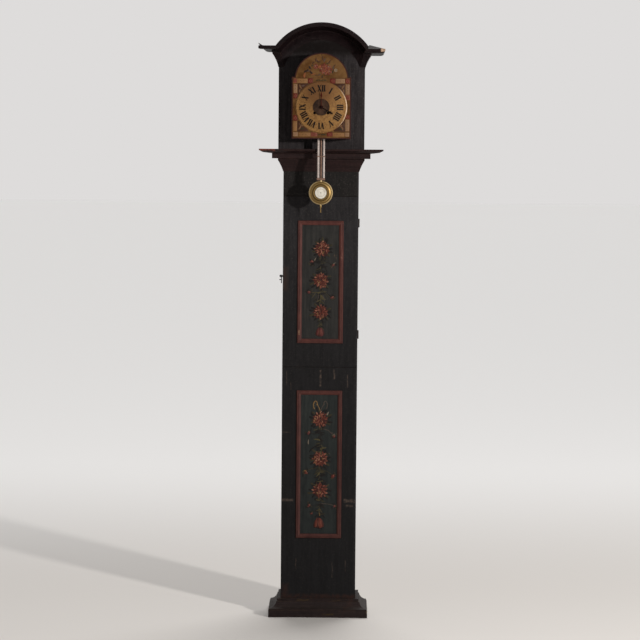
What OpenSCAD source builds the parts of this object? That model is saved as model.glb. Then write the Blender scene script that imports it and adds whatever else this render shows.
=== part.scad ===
// Longcase clock: tall painted pine case, an arched dial on a projecting box
// and a gridiron pendulum that hangs free in front of the case.
// Millimetres, +Z up. The front looks towards -Y, and the origin is on the floor
// under the middle. A "reach" is a distance in front of the trunk's front face.

/* [Trunk] */
// Width over the two sides
trunk_w = 276.5; // [250:0.5:330]
// Depth from the front face to the wall
trunk_d = 180; // [160:1:260]
// Height up to the underside of the ledge board
trunk_h = 1711; // [1680:1:1900]
// Thickness of the sides
side_t = 16; // [12:1:22]
// Thickness of the front boards and the door
front_t = 16; // [14:1:22]
// Thickness of the back board
back_t = 14; // [10:1:20]
// Height of the trunk's floor board above the floor
floor_z = 30; // [10:1:60]

/* [Plinth] */
// How far the base moulding stands out
plinth_reach = 44.5; // [30:0.5:60]
// Height of the base moulding
plinth_h = 65; // [60:1:80]
// Height of its plain foot
plinth_foot_h = 26; // [18:1:32]

/* [Door] */
// Height of the door's lower edge
door_z = 926; // [900:1:1000]
// Height of the door
door_h = 628; // [600:1:680]
// Gap above and below the door
door_gap = 1.2; // [0.8:0.1:3]
// Height of each hinge
hinge_h = 30; // [24:1:40]
// Radius of a hinge knuckle
knuckle_r = 4; // [3.5:0.1:5]
// Radius of a hinge pin
hinge_pin_r = 1.5; // [1:0.1:2]
// Distance of the upper hinge's middle from the door's upper end
hinge_inset = 97; // [60:1:140]
// Distance of the lower hinge's middle from the door's lower end
low_hinge_inset = 120; // [60:1:160]
// Height of the latch's pivot above the door's lower end
latch_up = 333; // [200:1:420]

/* [Panel frames] */
// Width over a frame of moulding
panel_w = 168; // [140:1:190]
// Width of its strips
panel_strip_w = 16; // [12:1:20]
// How far the strips stand out
panel_strip_t = 6; // [4:0.5:9]
// Height over the door's frame
door_panel_h = 451; // [400:1:500]
// Distance of the door's frame from the door's lower edge
door_panel_z = 88; // [60:1:110]
// Height over the lower frame
lower_panel_h = 549; // [450:1:590]
// Height of the lower frame above the floor
lower_panel_z = 290; // [250:1:320]

/* [Ledge] */
// Thickness of the ledge board
ledge_t = 16; // [12:1:22]
// How far the ledge board stands out
ledge_reach = 88; // [75:1:91]
// Thickness left at its edge
ledge_edge_t = 5; // [3:0.5:8]
// How far the step under the ledge stands out
step_reach = 41.5; // [36:0.5:55]
// Height of that step
step_h = 18.5; // [14:0.5:28]
// How far the hollow moulding stands out
hollow_reach = 20.5; // [14:0.5:30]
// Height of the hollow moulding
hollow_h = 47.5; // [30:0.5:50]

/* [Hood] */
// Width over the hood's sides
hood_w = 314; // [300:1:360]
// Reach of the hood's front board
hood_reach = 40; // [30:1:45]
// Thickness of the hood's front board
hood_board_t = 15; // [12:1:20]
// Thickness of the hood's sides
hood_side_t = 17; // [12:1:18]
// Height of the springing line above the ledge
spring_h = 298; // [285:1:340]
// How far the arch's centre lies below the springing line
arch_drop = 49.5; // [40:0.5:60]
// Inner radius of the arch moulding
arch_r = 147; // [135:1:155]
// Width of the arch moulding
arch_band = 62; // [54:1:66]
// Height of the side mouldings
cornice_h = 75; // [68:1:86]
// How far the moulding stands out at the sides
cornice_side_reach = 73; // [60:1:85]
// How far the moulding stands out in front
cornice_front_reach = 58; // [50:1:64]
// How far the tip of the right-hand moulding has sagged
cornice_sag = 12; // [0:1:18]
// Thickness of the curved roof
roof_t = 8; // [6:1:12]

/* [Clock box] */
// Thickness of the box's wall
box_wall = 10; // [8:0.5:12]
// How far the box shows round the dial plate
box_rim = 4; // [2:0.5:6]
// Depth of the box in front of the hood's board
box_depth = 116.5; // [114:0.5:125]

/* [Dial] */
// Width of the dial plate
dial_w = 205.5; // [200:0.5:230]
// Height of the dial plate up to its shoulders
dial_h = 214; // [208:1:235]
// Radius of the dial's arch
dial_arch_r = 93; // [88:1:100]
// How far the arch's centre lies below the shoulders
dial_arch_drop = 7; // [0:1:12]
// Height of the dial plate above the ledge
dial_z = 41; // [28:1:45]
// Thickness of the dial plate
dial_t = 1.5; // [1:0.1:2.5]
// Radius of the chapter disc
chapter_r = 93.3; // [90:0.1:98]
// Height of the hands' centre above the dial's lower edge
dial_centre_z = 109.5; // [104:0.5:116]
// How far the chapter disc swells out
chapter_swell = 9; // [7:0.5:10]
// Radius of the dark disc under the hands
centre_disc_r = 30; // [26:1:34]

/* [Hands] */
// Length of the minute hand
minute_hand_l = 58; // [50:1:74]
// Length of the hour hand
hour_hand_l = 51; // [40:1:54]
// Thickness of the hands
hand_t = 1.2; // [0.8:0.1:1.5]

/* [Movement] */
// Width of the movement's plates
plate_w = 112; // [108:1:120]
// Height of the plates below the hands' centre
plate_low = 61; // [58:1:66]
// Height of the plates above the hands' centre
plate_high = 66; // [64:1:72]
// Thickness of the plates
plate_t = 2; // [1.5:0.1:2.5]
// Distance between the plates
plate_gap = 36; // [36:0.5:40]
// Sideways place of the winding arbors
winding_x = 24; // [23.5:0.1:25]
// How far the winding arbors lie below the hands' centre
winding_drop = 21; // [20:0.1:22]
// Radius of the winding arbors
winding_r = 3; // [2.5:0.1:3.2]
// Radial clearance of a turning shaft
running_fit = 0.05; // [0.02:0.01:0.09]

/* [Pendulum] */
// Distance from the suspension to the middle of the bob
pendulum_l = 357.5; // [340:0.5:366]
// Height of the suspension above the hands' centre
suspension_h = 49; // [47:0.5:54]
// Reach of the pendulum's plane
pendulum_reach = 97; // [96:0.5:99]
// Radius of the bob
bob_r = 43.5; // [38:0.5:48]
// Half thickness of the bob
bob_half_t = 6.5; // [5:0.5:7]
// Radius of the enamel disc in the bob
enamel_r = 22.2; // [18:0.1:28]
// Width over the gridiron's rods
grid_w = 28; // [24:0.5:34]
// Radius of the outer steel rods
steel_rod_r = 4.1; // [3:0.1:4.4]
// Radius of the middle brass rod
brass_rod_r = 3; // [2.5:0.1:3.4]
// Swing to each side
swing = 4; // [2:0.5:4]

/* [Hidden] */
$fn = 64;
seat = 0.02;
moving_gap = 0.3;
mitre_gap = 0.05;

// Reaches of the clock's layers, counted from the trunk's front face
box_front = hood_reach + box_depth;
dial_front = box_front + dial_t;
front_plate_front = box_front - 9.5;
front_plate_back = front_plate_front - plate_t;
back_plate_front = front_plate_back - plate_gap;
back_plate_back = back_plate_front - plate_t;
chapter_front = dial_front + chapter_swell;
centre_disc_t = 1;
hour_hand_back = chapter_front + centre_disc_t + 1.5;
minute_hand_back = hour_hand_back + hand_t + 1.8;
cannon_front = minute_hand_back + hand_t + 0.4;
nut_t = 3.6;
front_reach = cannon_front + nut_t;

// Planes of the case, centred so that the origin is under the middle of the whole clock
case_front_y = (front_reach - trunk_d) / 2;
back_y = case_front_y + trunk_d;
inner_front_y = case_front_y + front_t;
inner_back_y = back_y - back_t;
trunk_half = trunk_w / 2;
ledge_z = trunk_h + ledge_t;
door_top = door_z + door_h;

// Hood
hood_half = hood_w / 2;
spring_z = ledge_z + spring_h;
arch_z = spring_z - arch_drop;
board_below = 9; // How far the hood's front board stays below its side mouldings
roof_below = 11; // How far the roof stays below the arch moulding
board_arch_r = arch_r + arch_band - roof_below;
hood_board_y = case_front_y - hood_reach;
hood_inner_y = hood_board_y + hood_board_t;
rail_w = 24;
dowel_r = 6;
dowel_h = 22;
hood_play = 1.5;

// Dial and movement
dial_low = ledge_z + dial_z;
centre_z = dial_low + dial_centre_z;
shoulder_z = dial_low + dial_h;
dial_arch_z = shoulder_z - dial_arch_drop;
suspension_z = centre_z + suspension_h;
winding_z = centre_z - winding_drop;
bob_z = suspension_z - pendulum_l;

// Door hinges
hinge_x = trunk_half + 0.5;
hinge_y = inner_front_y;
leaf_t = 1.6;
leaf_w = 13;
pin_head_t = 1.2;
hinge_mid_z = [door_z + low_hinge_inset, door_top - hinge_inset];

// A plane in front of the trunk's front face
function front(reach) = case_front_y - reach;

// A board given by its lowest and highest corners
module board(low, high) translate(low) cube(high - low);

// Children drawn flat, x across and y up, thickened towards the front from a reach
module facing(x, reach, z) translate([x, front(reach), z]) rotate([90, 0, 0]) children();

// A flat outline, x across and z up, as a board between two planes of y
module upright(y_front, y_back) translate([0, y_back, 0]) rotate([90, 0, 0])
    linear_extrude(y_back - y_front) children();

// A moulding profile (x outwards, y up) run along the front, mitred at both corners.
// half is half the width of the face that it lies on; reach_x and reach_y are its overhangs.
mitre_more = 0.1; // Share of a reach by which a mitre cut passes the profile
module front_run(half, face_y, reach_x, reach_y, low, high) intersection() {
    translate([0, face_y, 0]) mirror([0, 1, 0]) rotate([90, 0, 90])
        linear_extrude(2 * (half + reach_x) + 2, center = true) children();
    inner = [half - mitre_more * reach_x, mitre_more * reach_y];
    outer = [half + (1 + mitre_more) * reach_x, -(1 + mitre_more) * reach_y];
    translate([0, face_y, low - 1]) linear_extrude(high - low + 2)
        polygon([[-inner[0], inner[1]], [-outer[0], outer[1]], outer, inner]);
}

// The same profile run back along the right-hand side, mitred at the front corner, where a gap
// leaves the joint's line
module side_run(half, face_y, reach_x, reach_y, low, high, gap = 0) intersection() {
    translate([half, back_y, 0]) rotate([90, 0, 0])
        linear_extrude(back_y - face_y + reach_y + 1) children();
    inner = [-mitre_more * reach_x, mitre_more * reach_y];
    outer = [(1 + mitre_more) * reach_x, -(1 + mitre_more) * reach_y];
    translate([half, face_y + gap, low - 1]) linear_extrude(high - low + 2)
        polygon([inner, outer, [outer[0], back_y - face_y + 1], [inner[0], back_y - face_y + 1]]);
}

// A large disc to the right of the line from a to b, which cuts a shallow hollow of the given depth
module shallow_disc(a, b, depth) {
    chord = norm(b - a);
    r = (chord * chord / 4 + depth * depth) / (2 * depth);
    aside = [b[1] - a[1], a[0] - b[0]] / chord;
    translate((a + b) / 2 + aside * (r - depth)) circle(r = r, $fn = 180);
}

module both_sides() {
    children();
    mirror([1, 0, 0]) children();
}

// Gear outline with straight-sided teeth, slimmer than their spaces so that pairs run free
function gear_points(teeth, size) = let (
    pitch_r = teeth * size / 2,
    tip = pitch_r + 0.75 * size,
    root = pitch_r - 1.15 * size,
    half = 90 / teeth
) [for (i = [0 : teeth - 1], p = [[root, -1.12], [tip, -0.36], [tip, 0.36], [root, 1.12]])
    let (a = 360 * i / teeth + p[1] * half) p[0] * [cos(a), sin(a)]];

// How far to turn a gear so that it meshes with a driver, which lies the other way along a line
// at the angle direction from the driver's centre
function meshed(turn, teeth, other_teeth, direction) =
    direction + 180 - 180 / other_teeth + (direction - turn) * teeth / other_teeth;
function direction(from, to) = atan2(to[1] - from[1], to[0] - from[0]);

// A crossed-out wheel: toothed rim, hub and arms
module wheel(teeth, size, t, bore, arms = 4) linear_extrude(t) difference() {
    rim = teeth * size / 2 - 1.15 * size - max(1.4, size * 2);
    hub = bore + 2.2;
    polygon(gear_points(teeth, size));
    circle(bore);
    difference() {
        circle(rim);
        circle(hub);
        for (i = [0 : arms - 1]) rotate(360 * i / arms)
            translate([0, -1]) square([rim + 1, 2]);
    }
}

module pinion(leaves, size, t, bore) linear_extrude(t) difference() {
    polygon(gear_points(leaves, size));
    circle(bore);
}

module arbor(x, z, reach, l, r) facing(x, reach, z) cylinder(h = l, r = r);

// Trunk

// The back board runs up into the hood, where it is no wider than the hood's inside
back_upper_half = min(trunk_half, hood_half - hood_side_t - hood_play);
module back_outline() {
    translate([-trunk_half, 0]) square([trunk_w, ledge_z]);
    translate([-back_upper_half, 0]) square([2 * back_upper_half, arch_z]);
    intersection() {
        translate([-back_upper_half, arch_z - 1]) square([2 * back_upper_half, board_arch_r]);
        translate([0, arch_z]) circle(board_arch_r - roof_t - hood_play, $fn = 128);
    }
}

module back_board() color("#3a2a1f") upright(inner_back_y, back_y) back_outline();

module trunk_side_left() color("#222022")
    board([-trunk_half, inner_front_y, 0], [-trunk_half + side_t, inner_back_y, trunk_h]);

module hinge_recess(door_side) for (z = hinge_mid_z) translate([hinge_x, hinge_y, z - hinge_h / 2]) {
    translate([0, 0, -pin_head_t - moving_gap])
        cylinder(h = hinge_h + 2 * (pin_head_t + moving_gap), r = knuckle_r + moving_gap);
    translate([-leaf_w - 1, door_side ? -leaf_t - moving_gap : 0, 0])
        cube([leaf_w + 1, leaf_t + (door_side ? moving_gap : 0), hinge_h]);
}

module trunk_side_right() color("#222022") difference() {
    mirror([1, 0, 0]) trunk_side_left();
    hinge_recess(false);
}

module trunk_floor() color("#4a3526")
    board([-trunk_half + side_t, inner_front_y, floor_z],
          [trunk_half - side_t, inner_back_y, floor_z + front_t]);

module lower_front_board() color("#242224")
    board([-trunk_half, case_front_y, 0], [trunk_half, inner_front_y, door_z - door_gap]);

module top_rail() color("#242224")
    board([-trunk_half, case_front_y, door_top + door_gap], [trunk_half, inner_front_y, trunk_h]);

// Section of a panel strip: a flat band between two beads, one groove and a sloped inner lip
module strip_section() {
    bead = panel_strip_t * 0.45;
    difference() {
        polygon([[0, 0], [0, panel_strip_t - bead], [bead, panel_strip_t],
                 [panel_strip_w * 0.62, panel_strip_t], [panel_strip_w, panel_strip_t * 0.35],
                 [panel_strip_w, 0]]);
        translate([panel_strip_w * 0.36, panel_strip_t]) circle(r = bead * 0.4, $fn = 24);
    }
}

// Four mitred strips round a panel, on the trunk's front face
module panel_frame(low, height) for (turn = [0 : 3]) {
    along = (turn % 2 == 0 ? panel_w : height) / 2;
    across = (turn % 2 == 0 ? height : panel_w) / 2;
    inner = panel_strip_w + 1;
    translate([0, case_front_y, low + height / 2]) rotate([0, 90 * turn, 0])
        translate([0, 0, -across]) intersection() {
            rotate([90, 0, 90]) linear_extrude(2 * along, center = true) rotate(90) strip_section();
            rotate([90, 0, 0]) linear_extrude(panel_strip_t + 2) polygon([
                [-along + mitre_gap, 0], [along - mitre_gap, 0],
                [along - inner - mitre_gap, inner], [-along + inner + mitre_gap, inner]]);
        }
}

module lower_panel_frame() color("#7a3830") panel_frame(lower_panel_z, lower_panel_h);

// A plain foot, a cove and a thin fillet against the trunk
plinth_fillet = 12;
plinth_lip = 2;
plinth_fillet_h = 7;
plinth_step = 3.5;
module plinth_section() difference() {
    cove_top = plinth_h - plinth_fillet_h;
    cove_out = plinth_reach - plinth_lip;
    union() {
        square([plinth_reach, plinth_foot_h]);
        square([plinth_fillet, plinth_h]);
        square([cove_out, cove_top - plinth_step]);
    }
    translate([cove_out, cove_top]) circle(r = cove_out - plinth_fillet - plinth_step);
}

module plinth_moulding() color("#2c1e1e") {
    front_run(trunk_half, case_front_y, plinth_reach, plinth_reach, 0, plinth_h) plinth_section();
    both_sides() side_run(trunk_half, case_front_y, plinth_reach, plinth_reach, 0, plinth_h)
        plinth_section();
}

// Ledge

// Under its two ends and its front it tapers in two slopes
ledge_break_in = 14;
ledge_break_h = 12;
ledge_slopes = [[step_reach, trunk_h], [ledge_reach - ledge_break_in, ledge_z - ledge_break_h],
                [ledge_reach, ledge_z - ledge_edge_t], [ledge_reach, ledge_z]];
module ledge_board() color("#2a2022") difference() {
    intersection() {
        upright(front(ledge_reach), back_y) polygon([
            for (p = ledge_slopes) [trunk_half + p[0], p[1]],
            for (i = [len(ledge_slopes) - 1 : -1 : 0])
                [-trunk_half - ledge_slopes[i][0], ledge_slopes[i][1]]]);
        translate([0, case_front_y, 0]) mirror([0, 1, 0]) rotate([90, 0, 90])
            linear_extrude(trunk_w + 2 * ledge_reach, center = true)
                polygon(concat([[-trunk_d, trunk_h]], ledge_slopes, [[-trunk_d, ledge_z]]));
    }
    board([-trunk_half - moving_gap, inner_back_y - moving_gap, trunk_h - 1],
          [trunk_half + moving_gap, back_y + 1, ledge_z + 1]);
    both_sides() translate([dowel_x, dowel_y, trunk_h - 1]) cylinder(h = ledge_t + 2, r = dowel_r);
}

dowel_x = hood_half - hood_side_t - rail_w / 2;
dowel_y = (hood_inner_y + inner_back_y) / 2;

// A flat fillet over a shallow hollow that runs down to the trunk
hollow_fillet_h = 6;
hollow_lip = 1.5;
hollow_depth = 1.6;
module hollow_section() translate([0, trunk_h - step_h - hollow_h]) difference() {
    square([hollow_reach, hollow_h]);
    shallow_disc([hollow_lip, 0], [hollow_reach, hollow_h - hollow_fillet_h], hollow_depth);
}

module ledge_mouldings() color("#2e2020") {
    low = trunk_h - step_h - hollow_h;
    mid = trunk_h - step_h;
    front_run(trunk_half, case_front_y, step_reach, step_reach, low, trunk_h) {
        hollow_section();
        translate([0, mid]) square([step_reach, step_h]);
    }
    both_sides() side_run(trunk_half, case_front_y, step_reach, step_reach, low, trunk_h) {
        hollow_section();
        translate([0, mid]) square([step_reach, step_h]);
    }
}

module hood_dowels() color("#8a6a44") both_sides()
    translate([dowel_x, dowel_y, trunk_h]) cylinder(h = ledge_t + dowel_h, r = dowel_r - seat);

// Door and its hinges

module door_board() color("#242224") difference() {
    board([-trunk_half, case_front_y, door_z], [trunk_half, inner_front_y - moving_gap, door_top]);
    hinge_recess(true);
}

module door_panel_frame() color("#7a3830") panel_frame(door_z + door_panel_z, door_panel_h);

// One hinge leaf: a plate with knuckles, where part 0 is the case's and part 1 the door's
module hinge_leaf(part) for (z = hinge_mid_z) translate([hinge_x, hinge_y, z - hinge_h / 2]) {
    third = hinge_h / 3;
    gap = 0.15;
    knuckles = part == 0 ? [0, 2] : [1];
    others = part == 0 ? [1] : [0, 2];
    bore = hinge_pin_r + (part == 0 ? seat : running_fit);
    difference() {
        union() {
            for (k = knuckles) translate([0, 0, third * k + (k == 0 ? 0 : gap)])
                cylinder(h = third - (k == 1 ? 2 * gap : gap), r = knuckle_r);
            translate([-leaf_w, part == 0 ? 0 : -leaf_t - moving_gap, 0])
                cube([leaf_w, leaf_t, hinge_h]);
        }
        for (k = others) translate([0, 0, third * k - gap])
            cylinder(h = third + 2 * gap, r = knuckle_r + moving_gap);
        translate([0, 0, -1]) cylinder(h = hinge_h + 2, r = bore);
    }
}

module case_hinge_leaves() color("#4a4038") hinge_leaf(0);
module door_hinge_leaves() color("#4a4038") hinge_leaf(1);

module hinge_pins() color("#6a6058") for (z = hinge_mid_z)
    translate([hinge_x, hinge_y, z - hinge_h / 2]) {
        cylinder(h = hinge_h, r = hinge_pin_r);
        for (end = [-pin_head_t, hinge_h]) translate([0, 0, end])
            cylinder(h = pin_head_t, r = hinge_pin_r + 1);
    }

// Hook latch on the left: it hangs from a screw in the side and swings up to a peg in the door
latch_z = door_z + latch_up;
latch_y = inner_front_y + 14;
peg_y = case_front_y + front_t / 2;
latch_l = latch_y - peg_y;
latch_off = 4;
latch_t = 3;
latch_bore = 2;
peg_r = 1.5;

// Children drawn flat, x up and y back, thickened to the left
module sideways(x, y, z) translate([x, y, z]) rotate([0, -90, 0]) children();

module latch_screw() color("#1c1a1a") sideways(-trunk_half, latch_y, latch_z) {
    cylinder(h = latch_off - moving_gap, r = 3.4);
    cylinder(h = latch_off + latch_t + moving_gap, r = latch_bore);
    translate([0, 0, latch_off + latch_t + moving_gap]) cylinder(h = 5, r1 = 5.4, r2 = 4);
}

module latch_hook() color("#1c1a1a") sideways(-trunk_half - latch_off, latch_y, latch_z) difference() {
    notch_r = peg_r + moving_gap;
    union() {
        cylinder(h = latch_t, r = 5);
        translate([-latch_l, -2, 0]) cube([latch_l, 4, latch_t]);
        translate([-latch_l, 0, 0]) cylinder(h = latch_t, r = 4.6);
        translate([-latch_l * 0.6, 0, 0]) cylinder(h = 9, r = 1.8);
    }
    translate([0, 0, -1]) cylinder(h = latch_t + 2, r = latch_bore + running_fit);
    translate([-latch_l, 0, -1]) cylinder(h = latch_t + 2, r = notch_r);
    translate([-latch_l - notch_r, -6, -1]) cube([2 * notch_r, 6, latch_t + 2]);
}

module latch_peg() color("#1c1a1a") sideways(-trunk_half, peg_y, latch_z) {
    cylinder(h = latch_off + latch_t + 1, r = peg_r);
    translate([0, 0, latch_off + latch_t + 1]) cylinder(h = 1.6, r = 3);
}

// Hood

module hood_outline() intersection() {
    translate([-hood_half, ledge_z]) square([hood_w, spring_h + 2 * cornice_h + arch_r]);
    union() {
        translate([-hood_half, ledge_z]) square([hood_w, spring_h + cornice_h - board_below]);
        translate([0, arch_z]) circle(board_arch_r, $fn = 128);
    }
}

module hood_front_board() color("#1e1c1e") upright(hood_board_y, hood_inner_y) hood_outline();

module hood_side_left() color("#1e1c1e") upright(hood_inner_y, back_y) intersection() {
    translate([-hood_half, ledge_z]) square([hood_side_t, spring_h + 2 * cornice_h]);
    union() {
        translate([-hood_half, ledge_z]) square([hood_side_t, spring_h - arch_drop]);
        translate([0, arch_z]) circle(board_arch_r - roof_t, $fn = 128);
    }
}

module hood_side_right() color("#1e1c1e") mirror([1, 0, 0]) hood_side_left();

module hood_roof() color("#2a2224") upright(hood_inner_y, back_y) intersection() {
    translate([0, arch_z]) difference() {
        circle(board_arch_r, $fn = 128);
        circle(board_arch_r - roof_t, $fn = 128);
    }
    translate([-hood_half, arch_z]) square([hood_w, board_arch_r]);
}

// The arch and both horns are a shallow cove under a projecting lip. In a profile x is the height
// and y the distance out. A lip's outline gives heights, and distances as shares of the reach.
cove_share = 0.32;
cove_lip = 1.5;
cove_depth = 2.5;
module cornice_profile(cove_h, reach, lip) {
    cove_out = cove_share * reach;
    difference() {
        polygon(concat([[0, 0], [0, cove_out], [cove_h, cove_out]],
                       [for (p = lip) [p[0], p[1] * reach]]));
        intersection() {
            shallow_disc([cove_h - cove_lip, cove_out], [0, cove_lip], cove_depth);
            translate([-1, 0]) square([cove_h, cove_out + 1]);
        }
    }
}

// On the arch the lip's underside slopes
arch_cove_h = arch_band - 29;
arch_lip = [[arch_cove_h + 2, 0.36], [arch_band - 15, 1], [arch_band - 1.5, 1], [arch_band, 0.97],
            [arch_band, 0]];

// On the horns it is nearly level; at the side the left one's tip sweeps up
cove_h = cornice_h - 26;
tip_rise = 8.6;
level_lip = [[cornice_h - 14, 0.37], [cornice_h - 13, 0.9], [cornice_h - 11, 1],
             [cornice_h - 1.5, 1], [cornice_h, 0.97], [cornice_h, 0]];
swept_lip = [[cornice_h - 14, 0.37], [cornice_h - 13.5, 0.63], [cornice_h - 11, 0.73],
             [cornice_h - 2, 0.88], [cornice_h + tip_rise - 1.6, 1], [cornice_h + tip_rise, 0.98],
             [cornice_h + 1.5, 0.82], [cornice_h, 0.73], [cornice_h, 0]];

// The right one's lip has tilted: its inner edge stands up, free of the arch, and its tip sags
sagged_low = cornice_h - 13 - cornice_sag;
sagged_lip = [[sagged_low, 0.34], [sagged_low, 0.84], [sagged_low + 3, 0.95],
              [sagged_low + 11, 1], [cornice_h + 5 - 1.25 * cornice_sag, 0.99],
              [cornice_h + 5, 0.24], [cornice_h - 14, 0.11], [cornice_h - 14, 0]];

// Where the arch and a horn meet: a mitre in the plane of the front that joins their arrises
function on_arch(r, z) = [sqrt(r * r - pow(z - arch_z, 2)), z];
function past(a, b, length) = a + (b - a) / norm(b - a) * (norm(b - a) + length);
mitre_mid = on_arch(arch_r + arch_cove_h + 1, spring_z + cove_h + 1);
mitre_foot = past(mitre_mid, on_arch(arch_r, spring_z), cornice_h);
mitre_head = past(mitre_mid, on_arch(arch_r + arch_band, spring_z + cornice_h), cornice_h);
mitre_line = [mitre_foot, mitre_mid, mitre_head];

// The region above both mitres, which the arch fills
module arch_region() polygon(concat(
    mitre_line, [[mitre_head[0], arch_z + 2 * arch_r], [-mitre_head[0], arch_z + 2 * arch_r]],
    [for (i = [len(mitre_line) - 1 : -1 : 0]) [-mitre_line[i][0], mitre_line[i][1]]]));

module arch_moulding() color("#2e2022") intersection() {
    facing(0, hood_reach, arch_z) rotate_extrude($fn = 128)
        translate([arch_r, 0]) cornice_profile(arch_cove_h, cornice_front_reach, arch_lip);
    upright(hood_board_y - cornice_front_reach - 1, hood_board_y + 1) arch_region();
}

module horn(side_lip, front_lip) {
    low = spring_z;
    high = spring_z + cornice_h + tip_rise;
    difference() {
        side_run(hood_half, hood_board_y, cornice_side_reach, cornice_front_reach, low, high, mitre_gap)
            translate([0, spring_z]) mirror([1, -1])
                cornice_profile(cove_h, cornice_side_reach, side_lip);
        upright(hood_board_y - cornice_front_reach, hood_board_y) arch_region();
    }
    intersection() {
        front_run(hood_half, hood_board_y, cornice_side_reach, cornice_front_reach, low, high)
            translate([0, spring_z]) mirror([1, -1])
                cornice_profile(cove_h, cornice_front_reach, front_lip);
        upright(hood_board_y - cornice_front_reach - 1, hood_board_y + 1) polygon(concat(
            mitre_line, [[hood_half + cornice_side_reach + 1, mitre_head[1]],
                         [hood_half + cornice_side_reach + 1, mitre_foot[1]]]));
    }
}

module hood_cornice_right() color("#2e2022") horn(sagged_lip, sagged_lip);
module hood_cornice_left() color("#2e2022") mirror([1, 0, 0]) horn(swept_lip, level_lip);

module hood_base_rails() color("#6b4a30") both_sides() difference() {
    board([hood_half - hood_side_t - rail_w, hood_inner_y, ledge_z],
          [hood_half - hood_side_t, inner_back_y - hood_play, ledge_z + rail_w]);
    translate([dowel_x, dowel_y, ledge_z - 1]) cylinder(h = dowel_h + 2, r = dowel_r + running_fit);
}

// Clock box and dial

// Outline of the arched dial, grown by a margin
module dial_outline(grow) {
    translate([-dial_w / 2 - grow, dial_low - grow]) square([dial_w + 2 * grow, dial_h + 2 * grow]);
    intersection() {
        translate([0, dial_arch_z]) circle(dial_arch_r + grow, $fn = 128);
        translate([-dial_w / 2, dial_arch_z]) square([dial_w, dial_arch_r + grow]);
    }
}

module clock_box() color("#4a1f1a") upright(front(box_front), front(hood_reach)) difference() {
    dial_outline(box_rim);
    dial_outline(box_rim - box_wall);
    translate([-dial_w, dial_low - box_rim - 1]) square([2 * dial_w, box_wall + 1]);
}

// Half width of the slot in the box's floor, through which the pendulum swings
slot_half = grid_w / 2 + 5 + (suspension_z - dial_low + box_rim) * sin(swing);
module clock_box_floor() color("#4a1f1a") difference() {
    board([-dial_w / 2 - box_rim, front(box_front), dial_low - box_rim],
          [dial_w / 2 + box_rim, front(hood_reach), dial_low - box_rim + box_wall]);
    board([-slot_half, front(pendulum_reach + 9), dial_low - box_rim - 1],
          [slot_half, front(pendulum_reach - 9), dial_low + box_wall + 1]);
}

module dial_plate() color("#b5864a") facing(0, box_front, 0) linear_extrude(dial_t) difference() {
    dial_outline(0);
    translate([0, centre_z]) circle(8);
    for (x = [-winding_x, winding_x]) translate([x, winding_z]) circle(7);
}

nail_x = dial_w / 2 - 3;
module dial_nails() color("#5a3a22") for (p = [
    [-nail_x, dial_low + 3], [nail_x, dial_low + 3], [-nail_x, shoulder_z - 3], [nail_x, shoulder_z - 3],
    [-nail_x, dial_low + dial_h / 2], [nail_x, dial_low + dial_h / 2],
    [0, dial_low + 3], [0, dial_arch_z + dial_arch_r - 3]])
    facing(p[0], dial_front, p[1]) cylinder(h = 0.9, r1 = 1.6, r2 = 0.9, $fn = 24);

// Raised brass disc of sheet metal: a bevelled rim round a shallow dome
chapter_rim_w = 9;
chapter_rim_t = 4.5;
chapter_sheet = 1.2;
chapter_rise = chapter_swell - chapter_rim_t;
chapter_dome_r = (pow(chapter_r - chapter_rim_w, 2) + pow(chapter_rise, 2)) / (2 * chapter_rise);

module chapter_section() difference() {
    union() {
        intersection() {
            translate([0, chapter_swell - chapter_dome_r]) circle(r = chapter_dome_r, $fn = 360);
            square([chapter_r - chapter_rim_w, chapter_swell + 1]);
        }
        polygon([[chapter_r - chapter_rim_w, 0], [chapter_r, 0], [chapter_r, 1],
                 [chapter_r - 4, chapter_rim_t], [chapter_r - chapter_rim_w, chapter_rim_t]]);
    }
    intersection() {
        translate([0, chapter_swell - chapter_sheet - chapter_dome_r])
            circle(r = chapter_dome_r, $fn = 360);
        translate([0, -1]) square([chapter_r - chapter_rim_w, chapter_swell]);
    }
}

module chapter_disc() color("#c9a04e") facing(0, dial_front, centre_z) difference() {
    rotate_extrude($fn = 128) chapter_section();
    translate([0, 0, -1]) cylinder(h = chapter_swell + 3, r = 7);
    for (x = [-winding_x, winding_x]) translate([x, -winding_drop, -1])
        cylinder(h = chapter_swell + 3, r = 5);
}

module centre_disc() color("#2a1712") facing(0, chapter_front, centre_z) difference() {
    cylinder(h = centre_disc_t, r = centre_disc_r);
    translate([0, 0, -1]) cylinder(h = 3, r = 6);
    for (x = [-winding_x, winding_x]) translate([x, -winding_drop, -1])
        cylinder(h = centre_disc_t + 3, r = 5.6);
}

// Movement

going_module = 0.778;
great_teeth = 72;
centre_leaves = 10;
third_at = [14, 14];
escape_at = [0, 24.67];
second_at = [-33, 9.7];
pin_wheel_at = [-30, 26.2];
fly_at = [-18, 32.2];
hammer_at = [-44, 40];
pivot_r = 0.6;
arbor_r = 0.9;
press_r = arbor_r - 0.1;
pillar_at = [[-1, -1], [1, -1], [-1, 1], [1, 1]];
pillar_r = 4;

function plate_pillar(s) = [s[0] * (plate_w / 2 - 7), s[1] > 0 ? plate_high - 7 : -plate_low + 7];

module plate_blank() difference() {
    translate([-plate_w / 2, -plate_low]) square([plate_w, plate_low + plate_high]);
    for (s = pillar_at) translate(plate_pillar(s)) circle(2 + seat);
    for (x = [-winding_x, winding_x]) translate([x, -winding_drop]) circle(winding_r + running_fit);
    for (p = [third_at, escape_at, second_at, pin_wheel_at, fly_at]) translate(p) circle(pivot_r + seat);
}

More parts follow.
